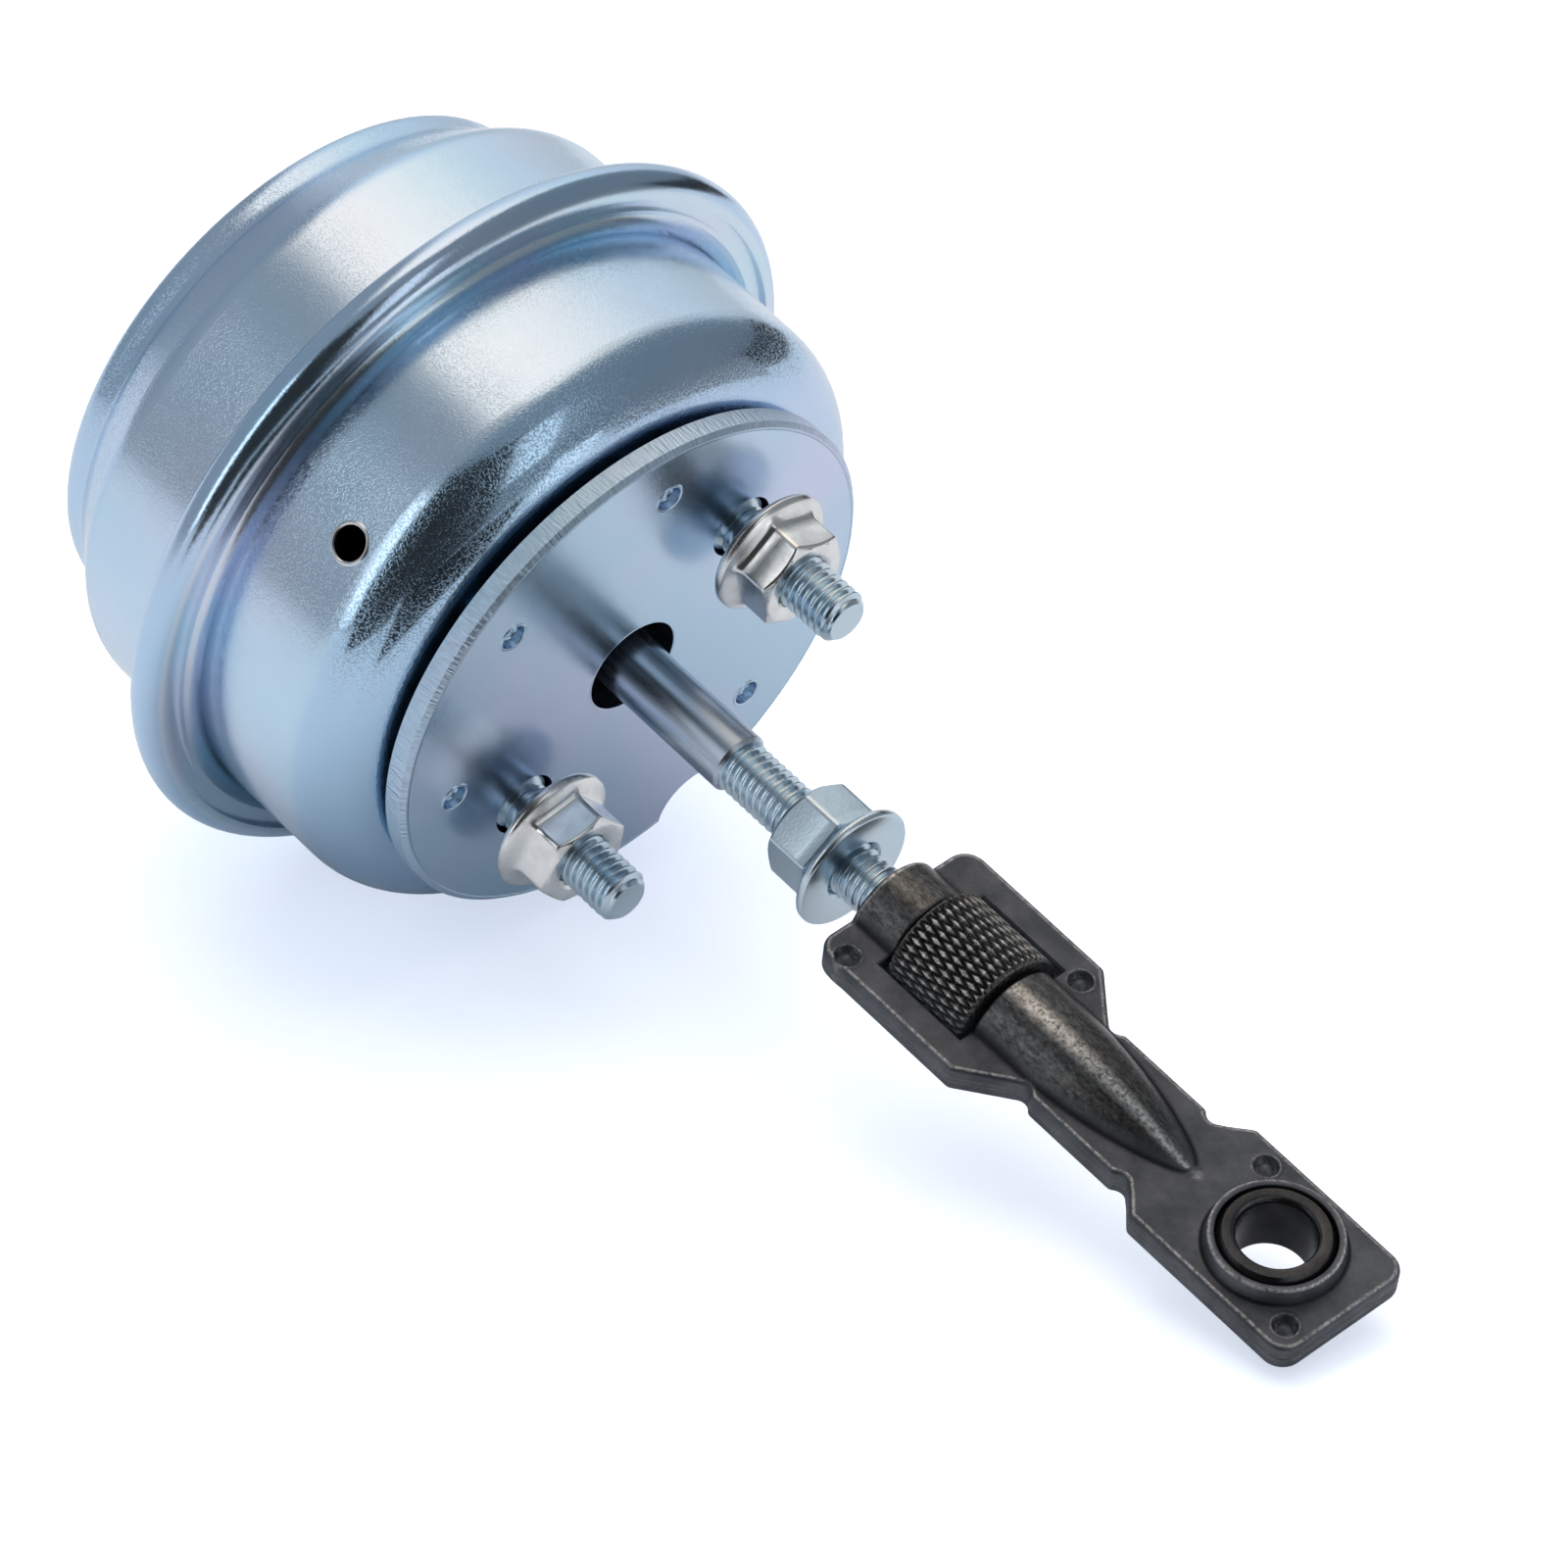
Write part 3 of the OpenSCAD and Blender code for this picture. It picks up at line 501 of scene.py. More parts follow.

# %% [markdown]
# ## The breather's edge
# The breather is pierced outwards, so its edge stands as a thin ring on the can's wall. It gets the
# brighter nickel finish as a painted highlight. A torus would lie flat, so the ring's points are
# pushed out to the wall's own curve.

# %% Breather edge
def ring_on_can(x0, degrees, radius, thick, can_r, cols=64, sides=10):
    """A tube round a hole: each point has a place along X and one across it from its turn round
    the hole, and its height over the rod's axis is the can's circle at that place across."""
    turn, side = np.linspace(0, TURN, cols + 1)[:, None], np.linspace(0, TURN, sides + 1)
    out = radius + thick * np.cos(side)
    x, across = x0 + out * np.cos(turn), out * np.sin(turn)
    height = np.sqrt(can_r ** 2 - across ** 2) + thick * np.sin(side)
    a = np.radians(degrees)
    y = height * np.cos(a) - across * np.sin(a)
    return points_of(x, y, height * np.sin(a) + across * np.cos(a))


breather_ring = ring_on_can(-14.3, 137.5, 2.08, 0.24, 36.4)
# Nickel on the zinc can's edge: a painted highlight.
piece("breather_edge", [breather_ring], nickel, "actuator")

# %% [markdown]
# ## Inside the can
# The diaphragm and the spring give way as the rod goes in. Each is one surface: the diaphragm
# is a profile carried round the rod, clamped edge, rolling fold and crown, and the spring is a
# circle carried along a helix whose end turns lie flat.

# %% Diaphragm and spring
FOLD_X, FOLD_R = -32.8, 30.7
fold = np.radians(np.linspace(0, 180, 15))


def fold_arc(radius):
    """Half a circle that hangs behind the fold's middle, from its inner side to its outer."""
    return points_of(FOLD_X - radius * np.sin(fold), FOLD_R - radius * np.cos(fold))


front_skin = rounded([(-9.65, 2.55, 0), (-9.65, 27.1, 3.3), (FOLD_X, 27.1, 0)])
back_skin = rounded([(FOLD_X, 26.3, 0), (-10.45, 26.3, 2.5), (-10.45, 2.55, 0), (-9.65, 2.55, 0)])
clamped_edge = [(-27.8, 34.3), (-27.8, 40.3), (-29.0, 40.3), (-29.0, 35.1)]
rubber_path = np.concatenate([
    front_skin, fold_arc(3.6)[1:], clamped_edge, fold_arc(4.4)[::-1][:-1], back_skin])
skin = lathe(rubber_path, 120)
diaphragm = piece("rolling_diaphragm", [skin], rubber, "actuator", ["diaphragm"])
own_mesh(diaphragm)


def coil(low, high, radius, wire, turns, per_turn=40, sides=12):
    """A wire's circle round a helix: X rises by a wire's thickness over each end turn and by an
    even pitch between them. The first and last rings shrink to a point and close the ends."""
    pitch = (high - low - 4 * wire) / turns
    t = np.linspace(0, turns + 2, per_turn * (turns + 2) + 1)
    x = low + 2 * wire * np.minimum(t, 1) + pitch * np.clip(t - 1, 0, turns)
    x = x + 2 * wire * np.maximum(t - 1 - turns, 0)
    t, x, size = (np.concatenate([v[:1], v, v[-1:]]) for v in (t, x, np.full_like(x, wire)))
    size[[0, -1]] = 0
    side = np.linspace(0, TURN, sides + 1)
    x, size, turn = x[:, None], size[:, None], TURN * t[:, None]
    return round_x(x + size * np.sin(side), radius + size * np.cos(side), turn)


wound = coil(-50.85, -12.85, 19.5, 1.1, 5)
spring = piece("coil_spring", [wound], spring_steel, "actuator", ["return_spring"])
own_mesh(spring)

# %% [markdown]
# ## Flange nuts
# A nut is usually cut from a cylinder and a hexagon. As one surface it is simpler: at each angle
# round the nut the side stands at the hexagon's radius, and the chamfer is a cone, so the side
# ends lower where it reaches further out. That alone draws the arcs over a real nut's flats.

# %% A flange nut as a function of angle
FLATS_R, CORNER_R, CHAMFER_R, CHAMFER = 5.0, 5.68, 4.75, np.radians(30)


def flange_nut(height, turned=0.0, cols=144):
    """Rows go out over the flange, up the flats, over the chamfer and down the bore. The side's
    radius is the flats' over the cosine of the angle from the nearest flat, held a little
    inside the corners, and the chamfer falls at its angle outside its circle."""
    turn = np.linspace(0, TURN, cols + 1)
    from_flat = (turn + np.pi / 6) % (np.pi / 3) - np.pi / 6
    side = np.minimum(FLATS_R / np.cos(from_flat), CORNER_R)
    top = height - np.maximum(side - CHAMFER_R, 0) * np.tan(CHAMFER)
    flange = [(0.25, 3.35), (0, 3.6), (0, 6.7), (0.08, 6.93), (0.28, 7.08), (0.55, 7.1),
              (0.85, 7.06), (1.05, 6.9), (1.18, 6.65), (1.45, 6.2), (1.72, side + 0.32)]
    flats = [(1.95, side + 0.1), (2.3, side), (3.4, side), (top - 0.25, side),
             (top - 0.08, side - 0.02), (top + 0.02, side - 0.1), (top + 0.12, side - 0.28)]
    bore = [(height - 0.05, 4.85), (height, 4.65), (height, 3.7), (height - 0.06, 3.5),
            (height - 0.55, 3.06), (0.6, 3.06), (0.25, 3.35)]
    x, r = (np.array([np.broadcast_to(row[i], turn.shape) for row in flange + flats + bore])
            for i in (0, 1))
    x[:, -1], r[:, -1] = x[:, 0], r[:, 0]
    turn = turn + turned
    turn[-1] = turn[0]
    return [round_x(x, r, turn)]

# %% Stud nuts and lock nut
NUT_SEAT, LOCK_SEAT = 3.7, 34.1
nuts = []
for centre, angle in zip(STUD_PLACES, np.radians([69.5, 219.5])):
    nuts += [grid + (NUT_SEAT, 0, 0) for grid in shifted(flange_nut(6.0, angle), centre)]
piece("flange_nuts", nuts, nickel, "actuator", ["stud_nuts"], sharp=40)
lock = shifted(flange_nut(7.7, np.radians(8)), mirror_x=LOCK_SEAT)
piece("lock_nut_detail", lock, zinc_thread, "lock_nut", ["lock_nut"], sharp=40)

# %% [markdown]
# ## The knurled adjuster
# Turning this drum moves the link along the rod, so it has a diamond knurl for fingers. The knurl
# is two sets of grooves that wind opposite ways. They could be cut one by one, but on one fine
# grid the lower of two waves gives the height at once, and a bevel rounds the drum at its ends.

# %% Knurl
KNURL_STARTS, KNURL_WIND = 44, 3.6
KNURL_COLS, BEVEL, BEVEL_DROP = KNURL_STARTS * 10, 0.45, 0.35


def knurled(x0, length, radius, depth, rows=100):
    """The radius falls by depth in the grooves: each of two waves counts starts round the drum
    and winds along it, one each way, and the lower of the two sets the height. The crests get a
    painted highlight and the grooves painted shade."""
    t, s = np.meshgrid(np.linspace(0, TURN, KNURL_COLS + 1), np.linspace(0, 1, rows))
    wind = KNURL_WIND * TURN * s / 2
    right = np.abs(np.sin(KNURL_STARTS * t / 2 + wind))
    left = np.abs(np.sin(KNURL_STARTS * t / 2 - wind))
    raised = np.minimum(1.0, 1.15 * np.minimum(right, left)) ** 0.8
    edge = np.clip(np.minimum(s, 1 - s) * length / BEVEL, 0, 1)
    r = radius - depth * (1 - raised) * edge - BEVEL_DROP * (1 - np.sqrt(edge * (2 - edge)))
    t[:, -1] = 0
    # Painted glints on the crests, painted shade in the grooves.
    light_and_wear_marks = 4.4 * np.clip(raised - 0.78, 0, 1) - np.clip(1.1 - raised / 0.6, 0, 1)
    light_and_wear_marks[edge < 1] = 0.0
    return np.concatenate([round_x(x0 + length * s, r, t), light_and_wear_marks[..., None]], axis=-1)


DRUM_X, DRUM_L = 45.95, 11.0
drum = knurled(DRUM_X, DRUM_L, 6.5, 0.36)
bore = lathe([(DRUM_X, 6.15), (DRUM_X, 3.4), (DRUM_X + 0.3, 3.06), (DRUM_X + DRUM_L - 0.3, 3.06),
              (DRUM_X + DRUM_L, 3.4), (DRUM_X + DRUM_L, 6.15)], KNURL_COLS)
bore = np.concatenate([bore, 0 * bore[..., :1]], axis=-1)
piece("knurl", [drum, bore], phosphate_link, "adjuster", ["knurled_adjuster"])

# %% [markdown]
# ## The stamped link
# Two mirrored plates are pressed from sheet and clinched together, with half a barrel drawn into
# each. A sculpted block would do, but a stamping is really a height over a flat outline, so the
# plate is made as two heights, its top and its underside, over one grid that is bent to the
# outline. The grid's middle columns follow the barrel and narrow with its bullet-shaped end, so
# the foot of the barrel, where light catches, always has fine cells.

# %% Link: outline and heights
LINK_X, LINK_L, SHEET, CORNER = 39.5, 66.2, 1.6, 2.4
WING_W, NECK_W, PADDLE_W = 10.4, 6.4, 8.6
BARREL_R, BULLET_X, BULLET_ARC = 5.45, 23.5, 57.57
EYE_X, SEAT_R, JOIN_X = 55.9, 6.65, 44.8
NOTCHES, NOTCH_R = (26.45, 40.6), 1.3
WINDOW = 5.9, 18.0, 6.95
CLINCHES = (3.3, -8.9), (20.0, 7.4), (48.3, 6.1), (63.5, -5.8)


def half_width(x):
    """Half the link's width: straight wings, neck and paddle, arcs at the ends' corners, and
    relief notches beside the neck. A short running mean rounds the corners between them."""
    fine = np.linspace(-1, LINK_L + 1, 3401)
    w = np.interp(fine, [20.2, 25.2, 41.9, 44.3], [WING_W, NECK_W, NECK_W, PADDLE_W])
    for middle in NOTCHES:
        cut = 7.05 - np.sqrt(np.maximum(NOTCH_R ** 2 - (fine - middle) ** 2, 0))
        w = np.where(np.abs(fine - middle) < NOTCH_R, np.minimum(w, cut), w)
    kernel = np.hanning(47)
    w = np.convolve(np.pad(w, 23, mode="edge"), kernel / kernel.sum(), mode="valid")
    into = np.clip(CORNER - np.minimum(x, LINK_L - x), 0, CORNER)
    return np.interp(x, fine, w) - CORNER + np.sqrt(CORNER ** 2 - into ** 2)


def barrel_radius(x, inset=0.0):
    """The barrel's radius, and one arc of the bullet-shaped end that starts along the barrel."""
    arc = BULLET_ARC - inset
    return BARREL_R - BULLET_ARC + np.sqrt(arc ** 2 - np.clip(x - BULLET_X, 0, 24) ** 2)


def foot_of(x):
    """How far from the middle the barrel meets the plate's face."""
    return np.sqrt(np.maximum(barrel_radius(x) ** 2 - SHEET ** 2, 0))


edge_x = np.concatenate([
    CORNER * (1 - np.cos(np.linspace(0, np.pi / 2, 15))), np.linspace(2.6, 63.6, 306),
    LINK_L - CORNER * (1 - np.cos(np.linspace(np.pi / 2, 0, 15)))])
edge_side = points_of(edge_x, half_width(edge_x))
outline = np.concatenate([edge_side, edge_side[::-1] * (1, -1)])


def from_edge(xy):
    """Distance to the outline, a closed chain of straight pieces: the nearest point on each is
    found by its share along it, held between 0 and 1."""
    along = np.roll(outline, -1, axis=0) - outline
    flat = xy.reshape(-1, 2)
    near = np.full(len(flat), 1e9)
    for part in np.array_split(np.arange(len(outline)), 16):
        gap, step = flat[:, None] - outline[part], along[part]
        share = np.clip((gap * step).sum(-1) / np.maximum((step ** 2).sum(-1), 1e-9), 0, 1)
        distance = np.linalg.norm(gap - share[..., None] * step, axis=-1)
        near = np.minimum(near, distance.min(axis=1))
    return near.reshape(xy.shape[:-1])


def eased(depth, distance, radius):
    """How far a rounded edge lies under the face: a quarter circle over that distance."""
    gap = np.clip(1 - distance / radius, 0, 1)
    return depth * (1 - np.sqrt(1 - gap ** 2))


def smooth_max(a, b, width):
    """The higher of two heights, with a fillet where they are nearly equal."""
    return np.maximum(a, b) + np.maximum(width - np.abs(a - b), 0) ** 2 / (4 * width)


def top_height(xy):
    """The upper surface: plate and barrel joined by a fillet, less the rounded edges, and a
    round pit with a button in it at each clinched joint."""
    x, y = xy[..., 0], xy[..., 1]
    barrel = np.sqrt(np.maximum(barrel_radius(x) ** 2 - y ** 2, 0)) * (x < JOIN_X)
    z = smooth_max(SHEET, barrel, 0.7)
    z -= eased(0.5, from_edge(xy), 0.55)
    outside = np.maximum(np.maximum(WINDOW[0] - x, x - WINDOW[1]), np.abs(y) - WINDOW[2])
    z -= eased(0.25, np.abs(outside), 0.3)
    for px, py in CLINCHES:
        r = np.hypot(x - px, y - py)
        z -= 0.55 * np.clip((1.28 - r) / 0.25, 0, 1)
        z += 0.42 * np.clip(1 - (r / 0.85) ** 2, 0, 1)
        z += 0.10 * np.exp(-((r - 1.45) / 0.18) ** 2)
    return z


def wear_and_painted_light(xy):
    """How the upper surface is marked: worn lines round each clinch and a worn spot at the
    bullet's tip; a line just inside the outline, edge wear and a painted highlight on the rounded
    edge; a broad painted highlight along the barrel's top; and a darker band along its foot."""
    x, y = xy[..., 0], xy[..., 1]
    # A lighter line just inside the outline: edge wear, and a painted highlight on the rounded
    # edge.
    light_and_wear_marks = 0.85 * np.exp(-((from_edge(xy) - 0.42) / 0.17) ** 2)
    light_and_wear_marks += 0.55 * np.exp(-np.hypot(x - 44.9, y) ** 2 / 0.5)
    for px, py in CLINCHES:
        light_and_wear_marks += 0.45 * np.exp(-((np.hypot(x - px, y - py) - 1.45) / 0.14) ** 2)
    # A painted highlight: a broad lighter line along the barrel's top, where the lamp's reflection
    # lies.
    lean = np.degrees(np.arcsin(np.clip(y / np.maximum(barrel_radius(x), 0.5), -1, 1)))
    line = 0.95 * np.exp(-((lean + 9) / 11) ** 2) * (x < JOIN_X - 1)
    light_and_wear_marks += line * np.clip((x - 5) / 16, 0.25, 1)
    # Darker along the barrel's foot.
    foot = foot_of(x)
    gap = (np.abs(y) - foot - 0.1) / 0.35
    return np.clip(light_and_wear_marks - np.exp(-gap ** 2) * (x < JOIN_X) * (foot > 0.3), -1, 1)


def hollow(xy):
    """The underside: the barrel's bore, and the flat joint between the two plates."""
    bore = barrel_radius(xy[..., 0], SHEET)
    return np.sqrt(np.maximum(bore ** 2 * (bore > 0) - xy[..., 1] ** 2, 0)) * (xy[..., 0] < JOIN_X)


print("outline of", len(outline), "points, widest", outline[:, 1].max().round(2), "mm each side")

# %% Link: the grid over the body
FOOT_W = 5.21


def body_places():
    """Rows along the link that include both ends of the window, and columns that share out each
    row's width: by the sine of an angle over the barrel, then outwards to the edge. One column
    each side runs along the window, whose cells the mask leaves out."""
    start, end, side = WINDOW
    rows = np.concatenate([
        CORNER * (1 - np.cos(np.linspace(0, np.pi / 2, 13))), np.linspace(2.6, start - 0.3, 14),
        start - np.array([0.2, 0.1, 0.03]), np.linspace(start, end, 40),
        end + np.array([0.03, 0.1, 0.2]), np.linspace(end + 0.3, JOIN_X, 126)])
    foot = np.maximum(foot_of(rows), 0.5)
    over = np.sin(np.linspace(-np.pi / 2, np.pi / 2, 53))
    at_window = (side - FOOT_W) / (WING_W - FOOT_W)
    beyond = 1 - (1 - np.linspace(0, 1, 20)[1:]) ** 1.35
    out = np.concatenate([
        at_window * np.linspace(0, 1, 11)[1:] ** 1.5, at_window + (1 - at_window) * beyond])
    left = foot[:, None] + (half_width(rows) - foot)[:, None] * out
    y = np.concatenate([-left[:, ::-1], foot[:, None] * over, left], axis=1)
    x = np.broadcast_to(rows[:, None], y.shape)
    in_x = (rows[:-1] >= start - 1e-6) & (rows[1:] <= end + 1e-6)
    middle = (np.abs(y[:-1, :-1]) <= side + 1e-3) & (np.abs(y[:-1, 1:]) <= side + 1e-3)
    return points_of(x, y), ~(in_x[:, None] & middle)


def lift(xy, z, light_and_wear_marks=0.0):
    """Gives flat places their height, and their marks, wear and painted light, as a fourth number.
    """
    return points_of(xy[..., 0], xy[..., 1], z, light_and_wear_marks)


def wall(top_edge, bottom_edge):
    """A strip from the top edge down, with one row just over the joint that keeps the side
    straight before it turns under to the drawn-in lower edge."""
    above = top_edge.copy()
    above[..., 2] = np.minimum(top_edge[..., 2], bottom_edge[..., 2] + 0.16)
    above[..., 3] = 0.25
    return np.stack([top_edge, above, bottom_edge])


def drawn_in(xy, inner, by=0.13):
    """Moves an edge inwards by that much, and never past half the way to its neighbour."""
    step = inner - xy
    length = np.maximum(np.linalg.norm(step, axis=-1, keepdims=True), 1e-6)
    return xy + step / length * np.minimum(by, length / 2)


body, kept = body_places()
under = body.copy()
under[1:, 0] = drawn_in(body[1:, 0], body[1:, 1])
under[1:, -1] = drawn_in(body[1:, -1], body[1:, -2])
under[0] = drawn_in(body[0], body[4])
body_top, body_under = lift(body, top_height(body), wear_and_painted_light(body)), lift(under, hollow(under))

x0, x1 = (np.argmin(np.abs(body[:, 0, 0] - w)) for w in WINDOW[:2])
y0, y1 = (np.argmin(np.abs(body[x0, :, 1] - w)) for w in (-WINDOW[2], WINDOW[2]))
across_window, along_window = slice(y0, y1 + 1), slice(x0, x1 + 1)
window_walls = [np.stack([body_top[side], body_under[side]]) for side in (
    (x0, across_window), (x1, across_window), (along_window, y0), (along_window, y1))]
outer_walls = [wall(body_top[side], body_under[side]) for side in (
    0, (slice(None), 0), (slice(None), -1))]
print("body grid of", body.shape[:2], "points, window of", int((~kept).sum()), "cells")

# %% Link: rays round the eye
round_edge = edge_side[edge_side[:, 0] > JOIN_X + 0.2]
tip_y = edge_side[-1, 1] * np.linspace(1, -1, 61)[1:-1]
tip = points_of(np.full_like(tip_y, LINK_L), tip_y)
round_edge = np.concatenate([round_edge, tip, round_edge[::-1] * (1, -1)])
join = body[-1]
rim = np.concatenate([join, round_edge, join[:1]])
eye = np.array([EYE_X, 0.0])
ray = (rim - eye) / np.linalg.norm(rim - eye, axis=-1, keepdims=True)
seat = [(np.sqrt(SEAT_R ** 2 - z ** 2), z, -1) for z in np.linspace(0, 2.3, 7)]
# Each ring has a radius, a height and a mark: the seat and the collar's foot are darker, and the
# collar's top rim is lighter, edge wear and a painted highlight.
collar = seat + [
    (6.13, 2.7, -1), (6.10, 3.25, -0.4), (6.16, 3.40, 0.2), (6.28, 3.46, 0.1), (6.56, 3.46, 0.3),
    (6.72, 3.42, 1), (6.82, 3.32, 0.9), (6.88, 3.15, 0.1), (7.00, 2.7, 0), (7.16, 2.0, -0.3),
    (7.20, 1.85, -0.9), (7.3, 1.70, -1)]
collar_grid = np.stack([lift(eye + ray * r, z, light_and_wear_marks) for r, z, light_and_wear_marks in collar])
share = np.concatenate([np.linspace(0, 0.85, 22), [0.9, 0.94, 0.97, 0.99, 1.0]])[:, None, None]
flat_xy = (eye + ray * 7.42) * (1 - share) + rim * share
flat_top = lift(flat_xy, top_height(flat_xy), wear_and_painted_light(flat_xy))
# The flat's inner ring next to the collar is darker.
flat_top[0, :, 2:] = 1.62, -0.8
round_top = np.concatenate([collar_grid, flat_top])
under_rim = rim.copy()
outer = np.zeros(len(rim), dtype=bool)
outer[len(join):-1] = True
under_rim[outer] = drawn_in(rim[outer], flat_xy[-4][outer])
under_rim[[0, len(join) - 1, -1]] = under[-1][[0, -1, 0]]
round_under = lift(np.stack([eye + ray * SEAT_R, under_rim]), 0.0)
closing = slice(len(join) - 1, len(rim))
masked = [(body_top, kept), (body_under, kept)]
whole = [round_top, round_under, wall(round_top[-1][closing], round_under[-1][closing])]
whole += window_walls + outer_walls


def placed(flip):
    """The link's grids at their place along the rod, with the lower plate turned over."""
    turned, moved = (1, 1, flip, 1), (LINK_X, 0, 0, 0)
    return [(grid * turned + moved, keep) for grid, keep in masked] + [
        grid * turned + moved for grid in whole]


piece("link_top", placed(1), phosphate_link, "link", ["upper_link_plate"], sharp=38)
piece("link_bottom", placed(-1), phosphate_link, "link", ["lower_link_plate"],
      sharp=38)

# %% [markdown]
# ## The swivel ball
# The lever's pin runs in a ball that can tilt in its seat. A ball primitive would need cutting, so
# it is one closed profile carried round the eye's axis: the outer arc, a flat face each side and
# a rounded mouth into the bore.

# %% Swivel ball
BALL_R, BALL_HALF, BORE_R, LIP_R = 6.6, 3.75, 4.05, 0.6
widest = np.arcsin(BALL_HALF / BALL_R)
bulge = np.linspace(-widest, widest, 31)
outer_arc = BALL_R * points_of(np.sin(bulge), np.cos(bulge))
mouth = np.radians(np.linspace(0, 90, 7))
lip = points_of(BALL_HALF - LIP_R * (1 - np.cos(mouth)), BORE_R + LIP_R * (1 - np.sin(mouth)))
ball_path = np.concatenate([outer_arc, lip, lip[::-1] * (-1, 1), outer_arc[-1:] * (-1, 1)])
upright = lathe(ball_path, 120)[..., [1, 2, 0]] + (LINK_X + EYE_X, 0, 0)
piece("ball", [upright], phosphate_ball, "ball", ["swivel_ball"], sharp=30)

# %% [markdown]
# ## The studio
# Bright zinc shows the room more than itself. The photograph was taken on a white table with a
# white backdrop, one big soft lamp overhead at the back, a tall narrow one to the left, and a dark
# room on the camera's side. Directions are given as a compass angle round the table, 0 towards
# the camera and growing to its right, and a height above it. The table touches the can's rim and
# the link's end.

# %% Directions over the table
CAMERA_PLACE = np.array([414.9, -417.1, 681.3]) * MM
CAMERA_AXES = np.array([
    (0.66009, 0.74712, 0.07809), (-0.60771, 0.47002, 0.64013), (0.44155, -0.47000, 0.76428)])
TABLE_BELOW, TABLE_HALF = 33.4, 900
TABLE_UP = np.array([-0.281, 0.150, 0.948])
TABLE_UP /= np.linalg.norm(TABLE_UP)
TABLE_FRONT = CAMERA_AXES[2] - TABLE_UP * (CAMERA_AXES[2] @ TABLE_UP)
TABLE_FRONT /= np.linalg.norm(TABLE_FRONT)
TABLE_RIGHT = np.cross(TABLE_UP, TABLE_FRONT)


def towards(compass, height):
    """The unit direction at a compass angle and a height above the table, in degrees."""
    a, h = np.radians(compass)[..., None], np.radians(height)[..., None]
    return np.cos(h) * (np.cos(a) * TABLE_FRONT + np.sin(a) * TABLE_RIGHT) + np.sin(h) * TABLE_UP


def stage_piece(name, grid, material, **seen):
    """A grid of points in mm as part of the studio, with what kinds of ray see it."""
    mesh = bpy.data.meshes.new(name)
    mesh.from_pydata(grid.reshape(-1, 3) * MM, [], cells(*grid.shape[:2], 0))
    thing = bpy.data.objects.new(name, mesh)
    bpy.context.scene.collection.objects.link(thing)
    thing.data.materials.append(material)
    for ray, value in seen.items():
        setattr(thing, "visible_" + ray, value)


view_height = np.degrees(np.arcsin(CAMERA_AXES[2] @ TABLE_UP))
print("camera stands", view_height.round(1), "degrees over the table")

# %% The table
paper = Finish("paper_floor", Base_Color=(0.88, 0.89, 0.92, 1), Roughness=0.9)
paper.shader.inputs["Specular IOR Level"].default_value = 0.1
in_picture = paper.add("LightPath").outputs["Is Camera Ray"]
bright = paper.ramp(in_picture, 0, 1, 0.0, 0.66)
glow = paper.add("Emission", {"Color": (0.80, 0.87, 1.0, 1), "Strength": bright})
paper.surface(paper.add("AddShader", {0: paper.shader.outputs[0], 1: glow.outputs[0]}))
reach = TABLE_HALF * np.linspace(-1, 1, 3)
table = (-TABLE_UP * TABLE_BELOW + TABLE_RIGHT * reach[:, None, None]
         + TABLE_FRONT * reach[None, :, None])
stage_piece("table", table, paper.material)
print("the table is", 2 * TABLE_HALF, "mm wide")

# %% [markdown]
# ## What the metal reflects
# A can this shiny could be lit by many lamps, but cards that glow can be soft-edged and are seen
# by reflections as they are. The room is dim, and a white sweep behind and over the object
# brightens upwards and fades out at its sides. A dark card stands for the camera's side, and low
# strips draw the sharp dark and bright bands on the can's wall.

# %% Cards that glow
WHITE = (1, 1, 1, 1)


def glowing(name, colour, strength, cover=None):
    """Emission. The colour, the strength and the cover are values, or come from a recipe on the
    piece's own place. Where the cover is 0 the card is clear, so it can fade out at its edges."""
    light = Finish(name)
    colour, strength = (value(light) if callable(value) else value for value in (colour, strength))
    shine = light.add("Emission", {"Color": colour, "Strength": strength})
    if cover:
        clear = light.add("BsdfTransparent")
        shine = light.add("MixShader", {0: cover(light), 1: clear.outputs[0], 2: shine.outputs[0]})
    light.surface(shine)
    light.material.cycles.emission_sampling = "NONE"
    return light.material


def card(name, compass, height, glow, distance=1300, tone=WHITE, cover=None, **seen):
    """A curved card that spans those compass angles and heights. Its glow is one number, or a
    recipe such as across or upwards."""
    turn, rise = np.meshgrid(np.linspace(*compass, 60), np.linspace(*height, 24), indexing="ij")
    finish = glowing(name + "_glow", tone, glow, cover)
    stage_piece(name, towards(turn, rise) * distance, finish, camera=False, shadow=False, **seen)


def along(light, direction):
    """How far the place lies along a direction from the object, in metres."""
    sockets = {0: light.place, 1: tuple(direction)}
    return light.add("VectorMath", sockets, operation="DOT_PRODUCT").outputs["Value"]


def across(left, right):
    """Glow that changes from the room's left to its right."""
    return lambda light: light.ramp(along(light, TABLE_RIGHT), -0.9, 0.9, left, right)


def upwards(low, high):
    """Glow that changes from the table's level to high above it."""
    return lambda light: light.ramp(along(light, TABLE_UP), 0.0, 0.95, low, high)


def sweep_edges(light):
    """1 on the paper sweep behind and over the object, fading to 0 at its left, right and front."""
    side, ahead = along(light, TABLE_RIGHT), along(light, TABLE_FRONT)
    left = light.ramp(side, -0.49, -0.34)
    right = light.ramp(light.more(side, ahead, 0.45), 0.05, 0.22, 1.0, 0.0)
    front = light.ramp(ahead, -0.04, 0.14, 1.0, 0.0)
    return light.sums("MULTIPLY", light.sums("MULTIPLY", left, right), front)


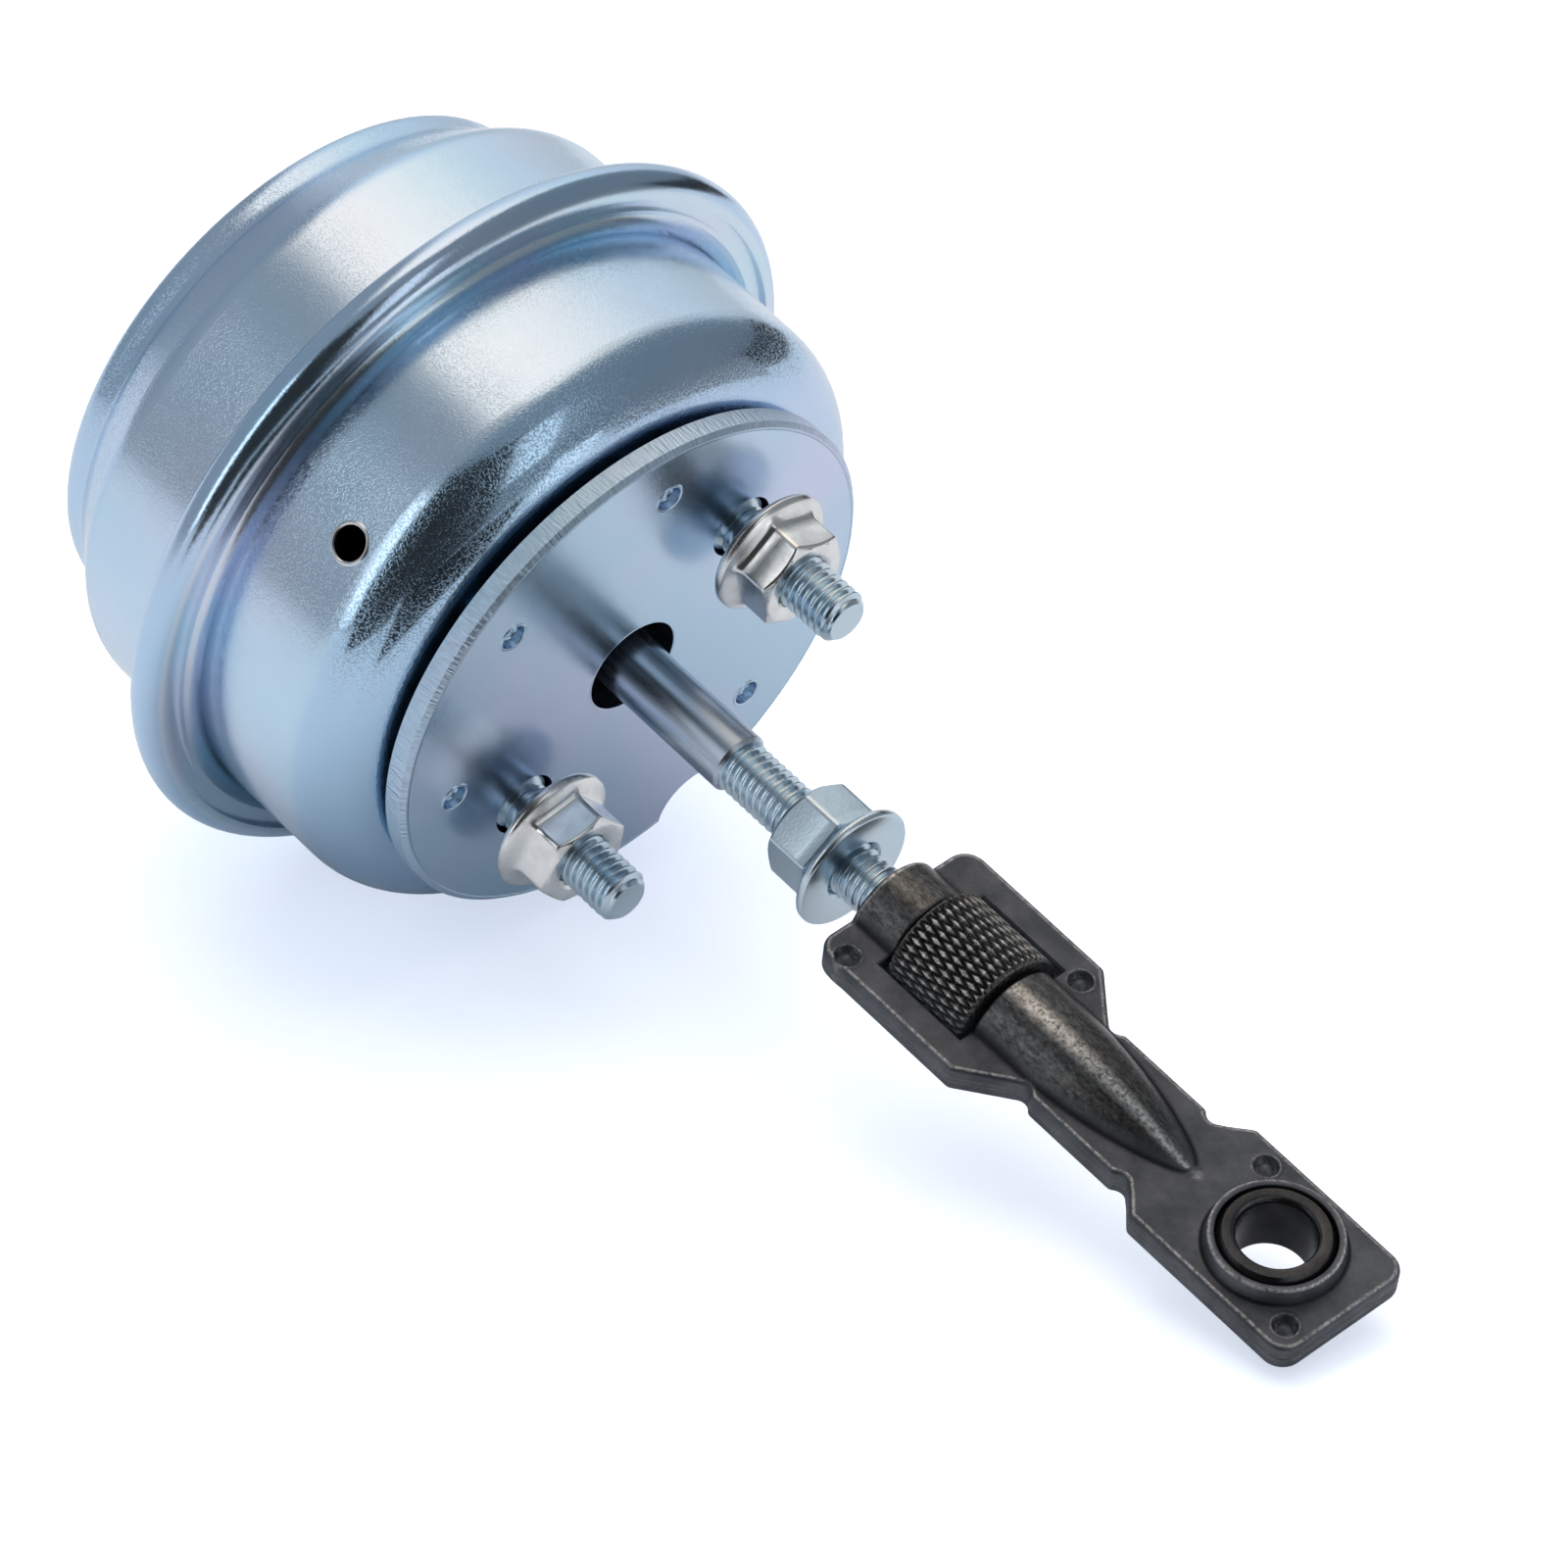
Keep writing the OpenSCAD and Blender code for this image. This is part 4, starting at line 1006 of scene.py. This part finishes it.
def sweep_glow(light):
    """Dim at the table, and much brighter overhead where the lamp stands."""
    up = along(light, TABLE_UP)
    low, high = light.ramp(up, 0.0, 0.75, 0.60, 0.90), light.ramp(up, 0.75, 1.15, 0.0, 0.45)
    return light.sums("ADD", low, high)


LAMP_TONE = (1.0, 0.87, 0.74)


def sweep_tone(light):
    """White paper below, and the warmer lamp on it overhead."""
    high = light.ramp(along(light, TABLE_UP), 0.65, 1.1)
    return light.mix(high, (0.97, 0.99, 1.0, 1), LAMP_TONE + (1,))


card("room", (-180, 180), (-4, 90), across(0.38, 0.25), tone=(0.86, 0.93, 1.0, 1))
card("backdrop", (131, 209), (-4, 58), upwards(0.66, 0.98), 1250, glossy=False)
card("sweep", (80, 290), (-4, 90), sweep_glow, 1200, sweep_tone, sweep_edges, diffuse=False)
card("dark_side", (-46, 30), (-4, 58), 0.035, 1250, diffuse=False)
print("cards: room, backdrop, sweep, dark_side")

# %% Low strips
def strip(name, compass, distance, foot, top, glow):
    """A curved strip near the object, between two heights, that only reflections see."""
    turn, rise = np.meshgrid(np.linspace(*compass, 40), np.linspace(foot, top, 3), indexing="ij")
    grid = towards(turn, 0 * turn) * distance - TABLE_UP * (TABLE_BELOW - rise[..., None])
    finish = glowing(name + "_glow", WHITE, glow)
    stage_piece(name, grid, finish, camera=False, diffuse=False, shadow=False)


strip("dark_left_edge", (-44, -12), 190, 15, 62, 0.035)
strip("dark_front_edge", (-14, 39), 105, 2, 50, 0.02)
strip("bright_edge", (46, 61), 132, 20, 72, 1.15)
strip("dim_right_edge", (66, 114), 130, 38, 75, 0.26)
strip("dark_back_edge", (114, 152), 130, 50, 82, 0.04)
print("strips: three dark, one bright, one dim")

# %% [markdown]
# ### The world
# The background has to be white in the picture and in the metal, but as much light from all round
# would wash out the shadows. So only diffuse rays see it dimmer.

# %% World
world = bpy.data.worlds.new("studio")
bpy.context.scene.world = world
world.use_nodes = True
sky = world.node_tree
back = sky.nodes["Background"]
back.inputs["Color"].default_value = WHITE
path = sky.nodes.new("ShaderNodeLightPath")
seen = path.outputs["Is Camera Ray"]
for ray in ("Is Glossy Ray", "Is Transmission Ray"):
    either = sky.nodes.new("ShaderNodeMath")
    either.operation, either.use_clamp = "ADD", True
    sky.links.new(seen, either.inputs[0])
    sky.links.new(path.outputs[ray], either.inputs[1])
    seen = either.outputs[0]
level = sky.nodes.new("ShaderNodeMapRange")
level.inputs["To Min"].default_value, level.inputs["To Max"].default_value = 0.6, 1.0
sky.links.new(seen, level.inputs["Value"])
sky.links.new(level.outputs["Result"], back.inputs["Strength"])
bpy.context.scene.view_settings.view_transform = "Standard"
print("world made")

# %% [markdown]
# ### Lamps and camera
# Area lamps give the soft shadow under the part. Each is set by the brightness of its face, so
# its reflection doesn't change with its size. The camera stands where the photograph's ellipses
# and edges placed it.

# %% Lamps
def stand(thing, axes, place):
    """Puts a lamp or camera at a place in metres, with its axes as columns."""
    matrix = np.eye(4)
    matrix[:3, :3], matrix[:3, 3] = axes, place
    thing.matrix_world = Matrix(matrix.tolist())
    bpy.context.scene.collection.objects.link(thing)


def lamp(name, compass, height, size, radiance, distance=900, colour=(1, 1, 1), **seen):
    """A soft rectangular lamp in that direction, facing the object. Its power is the wanted
    brightness of its face times its area times pi."""
    back = towards(np.array(float(compass)), np.array(float(height)))
    right = np.cross(TABLE_UP, back)
    right /= np.linalg.norm(right)
    width, tall = 2 * distance * np.tan(np.radians(np.array(size) / 2)) * MM
    data = bpy.data.lights.new(name, "AREA")
    data.shape, data.size, data.size_y = "RECTANGLE", width, tall
    data.energy, data.color = radiance * width * tall * np.pi, colour
    thing = bpy.data.objects.new(name, data)
    for ray, value in {"camera": False, **seen}.items():
        setattr(thing, "visible_" + ray, value)
    axes = np.stack([right, np.cross(back, right), back], axis=-1)
    stand(thing, axes, back * distance * MM)
    print(name, "is", width.round(2), "by", tall.round(2), "m")


lamp("overhead_back", -150, 72, (62, 30), 1.3, colour=LAMP_TONE, glossy=False)
lamp("left_strip", -55, 24, (12, 46), 1.4)
lamp("right_glow", 36, 38, (18, 38), 0.75)
lamp("fill", 150, 75, (60, 60), 1.1, glossy=False)

# %% Camera
SENSOR, FOCAL, NEAR, FAR = 36.0, 202.5, 0.01, 20.0
lens = bpy.data.cameras.new("photo_camera")
lens.sensor_width, lens.lens, lens.clip_start, lens.clip_end = SENSOR, FOCAL, NEAR, FAR
camera = bpy.data.objects.new("photo_camera", lens)
stand(camera, CAMERA_AXES.T, CAMERA_PLACE)
bpy.context.scene.camera = camera
print("camera is", np.linalg.norm(CAMERA_PLACE).round(2), "m from the origin")
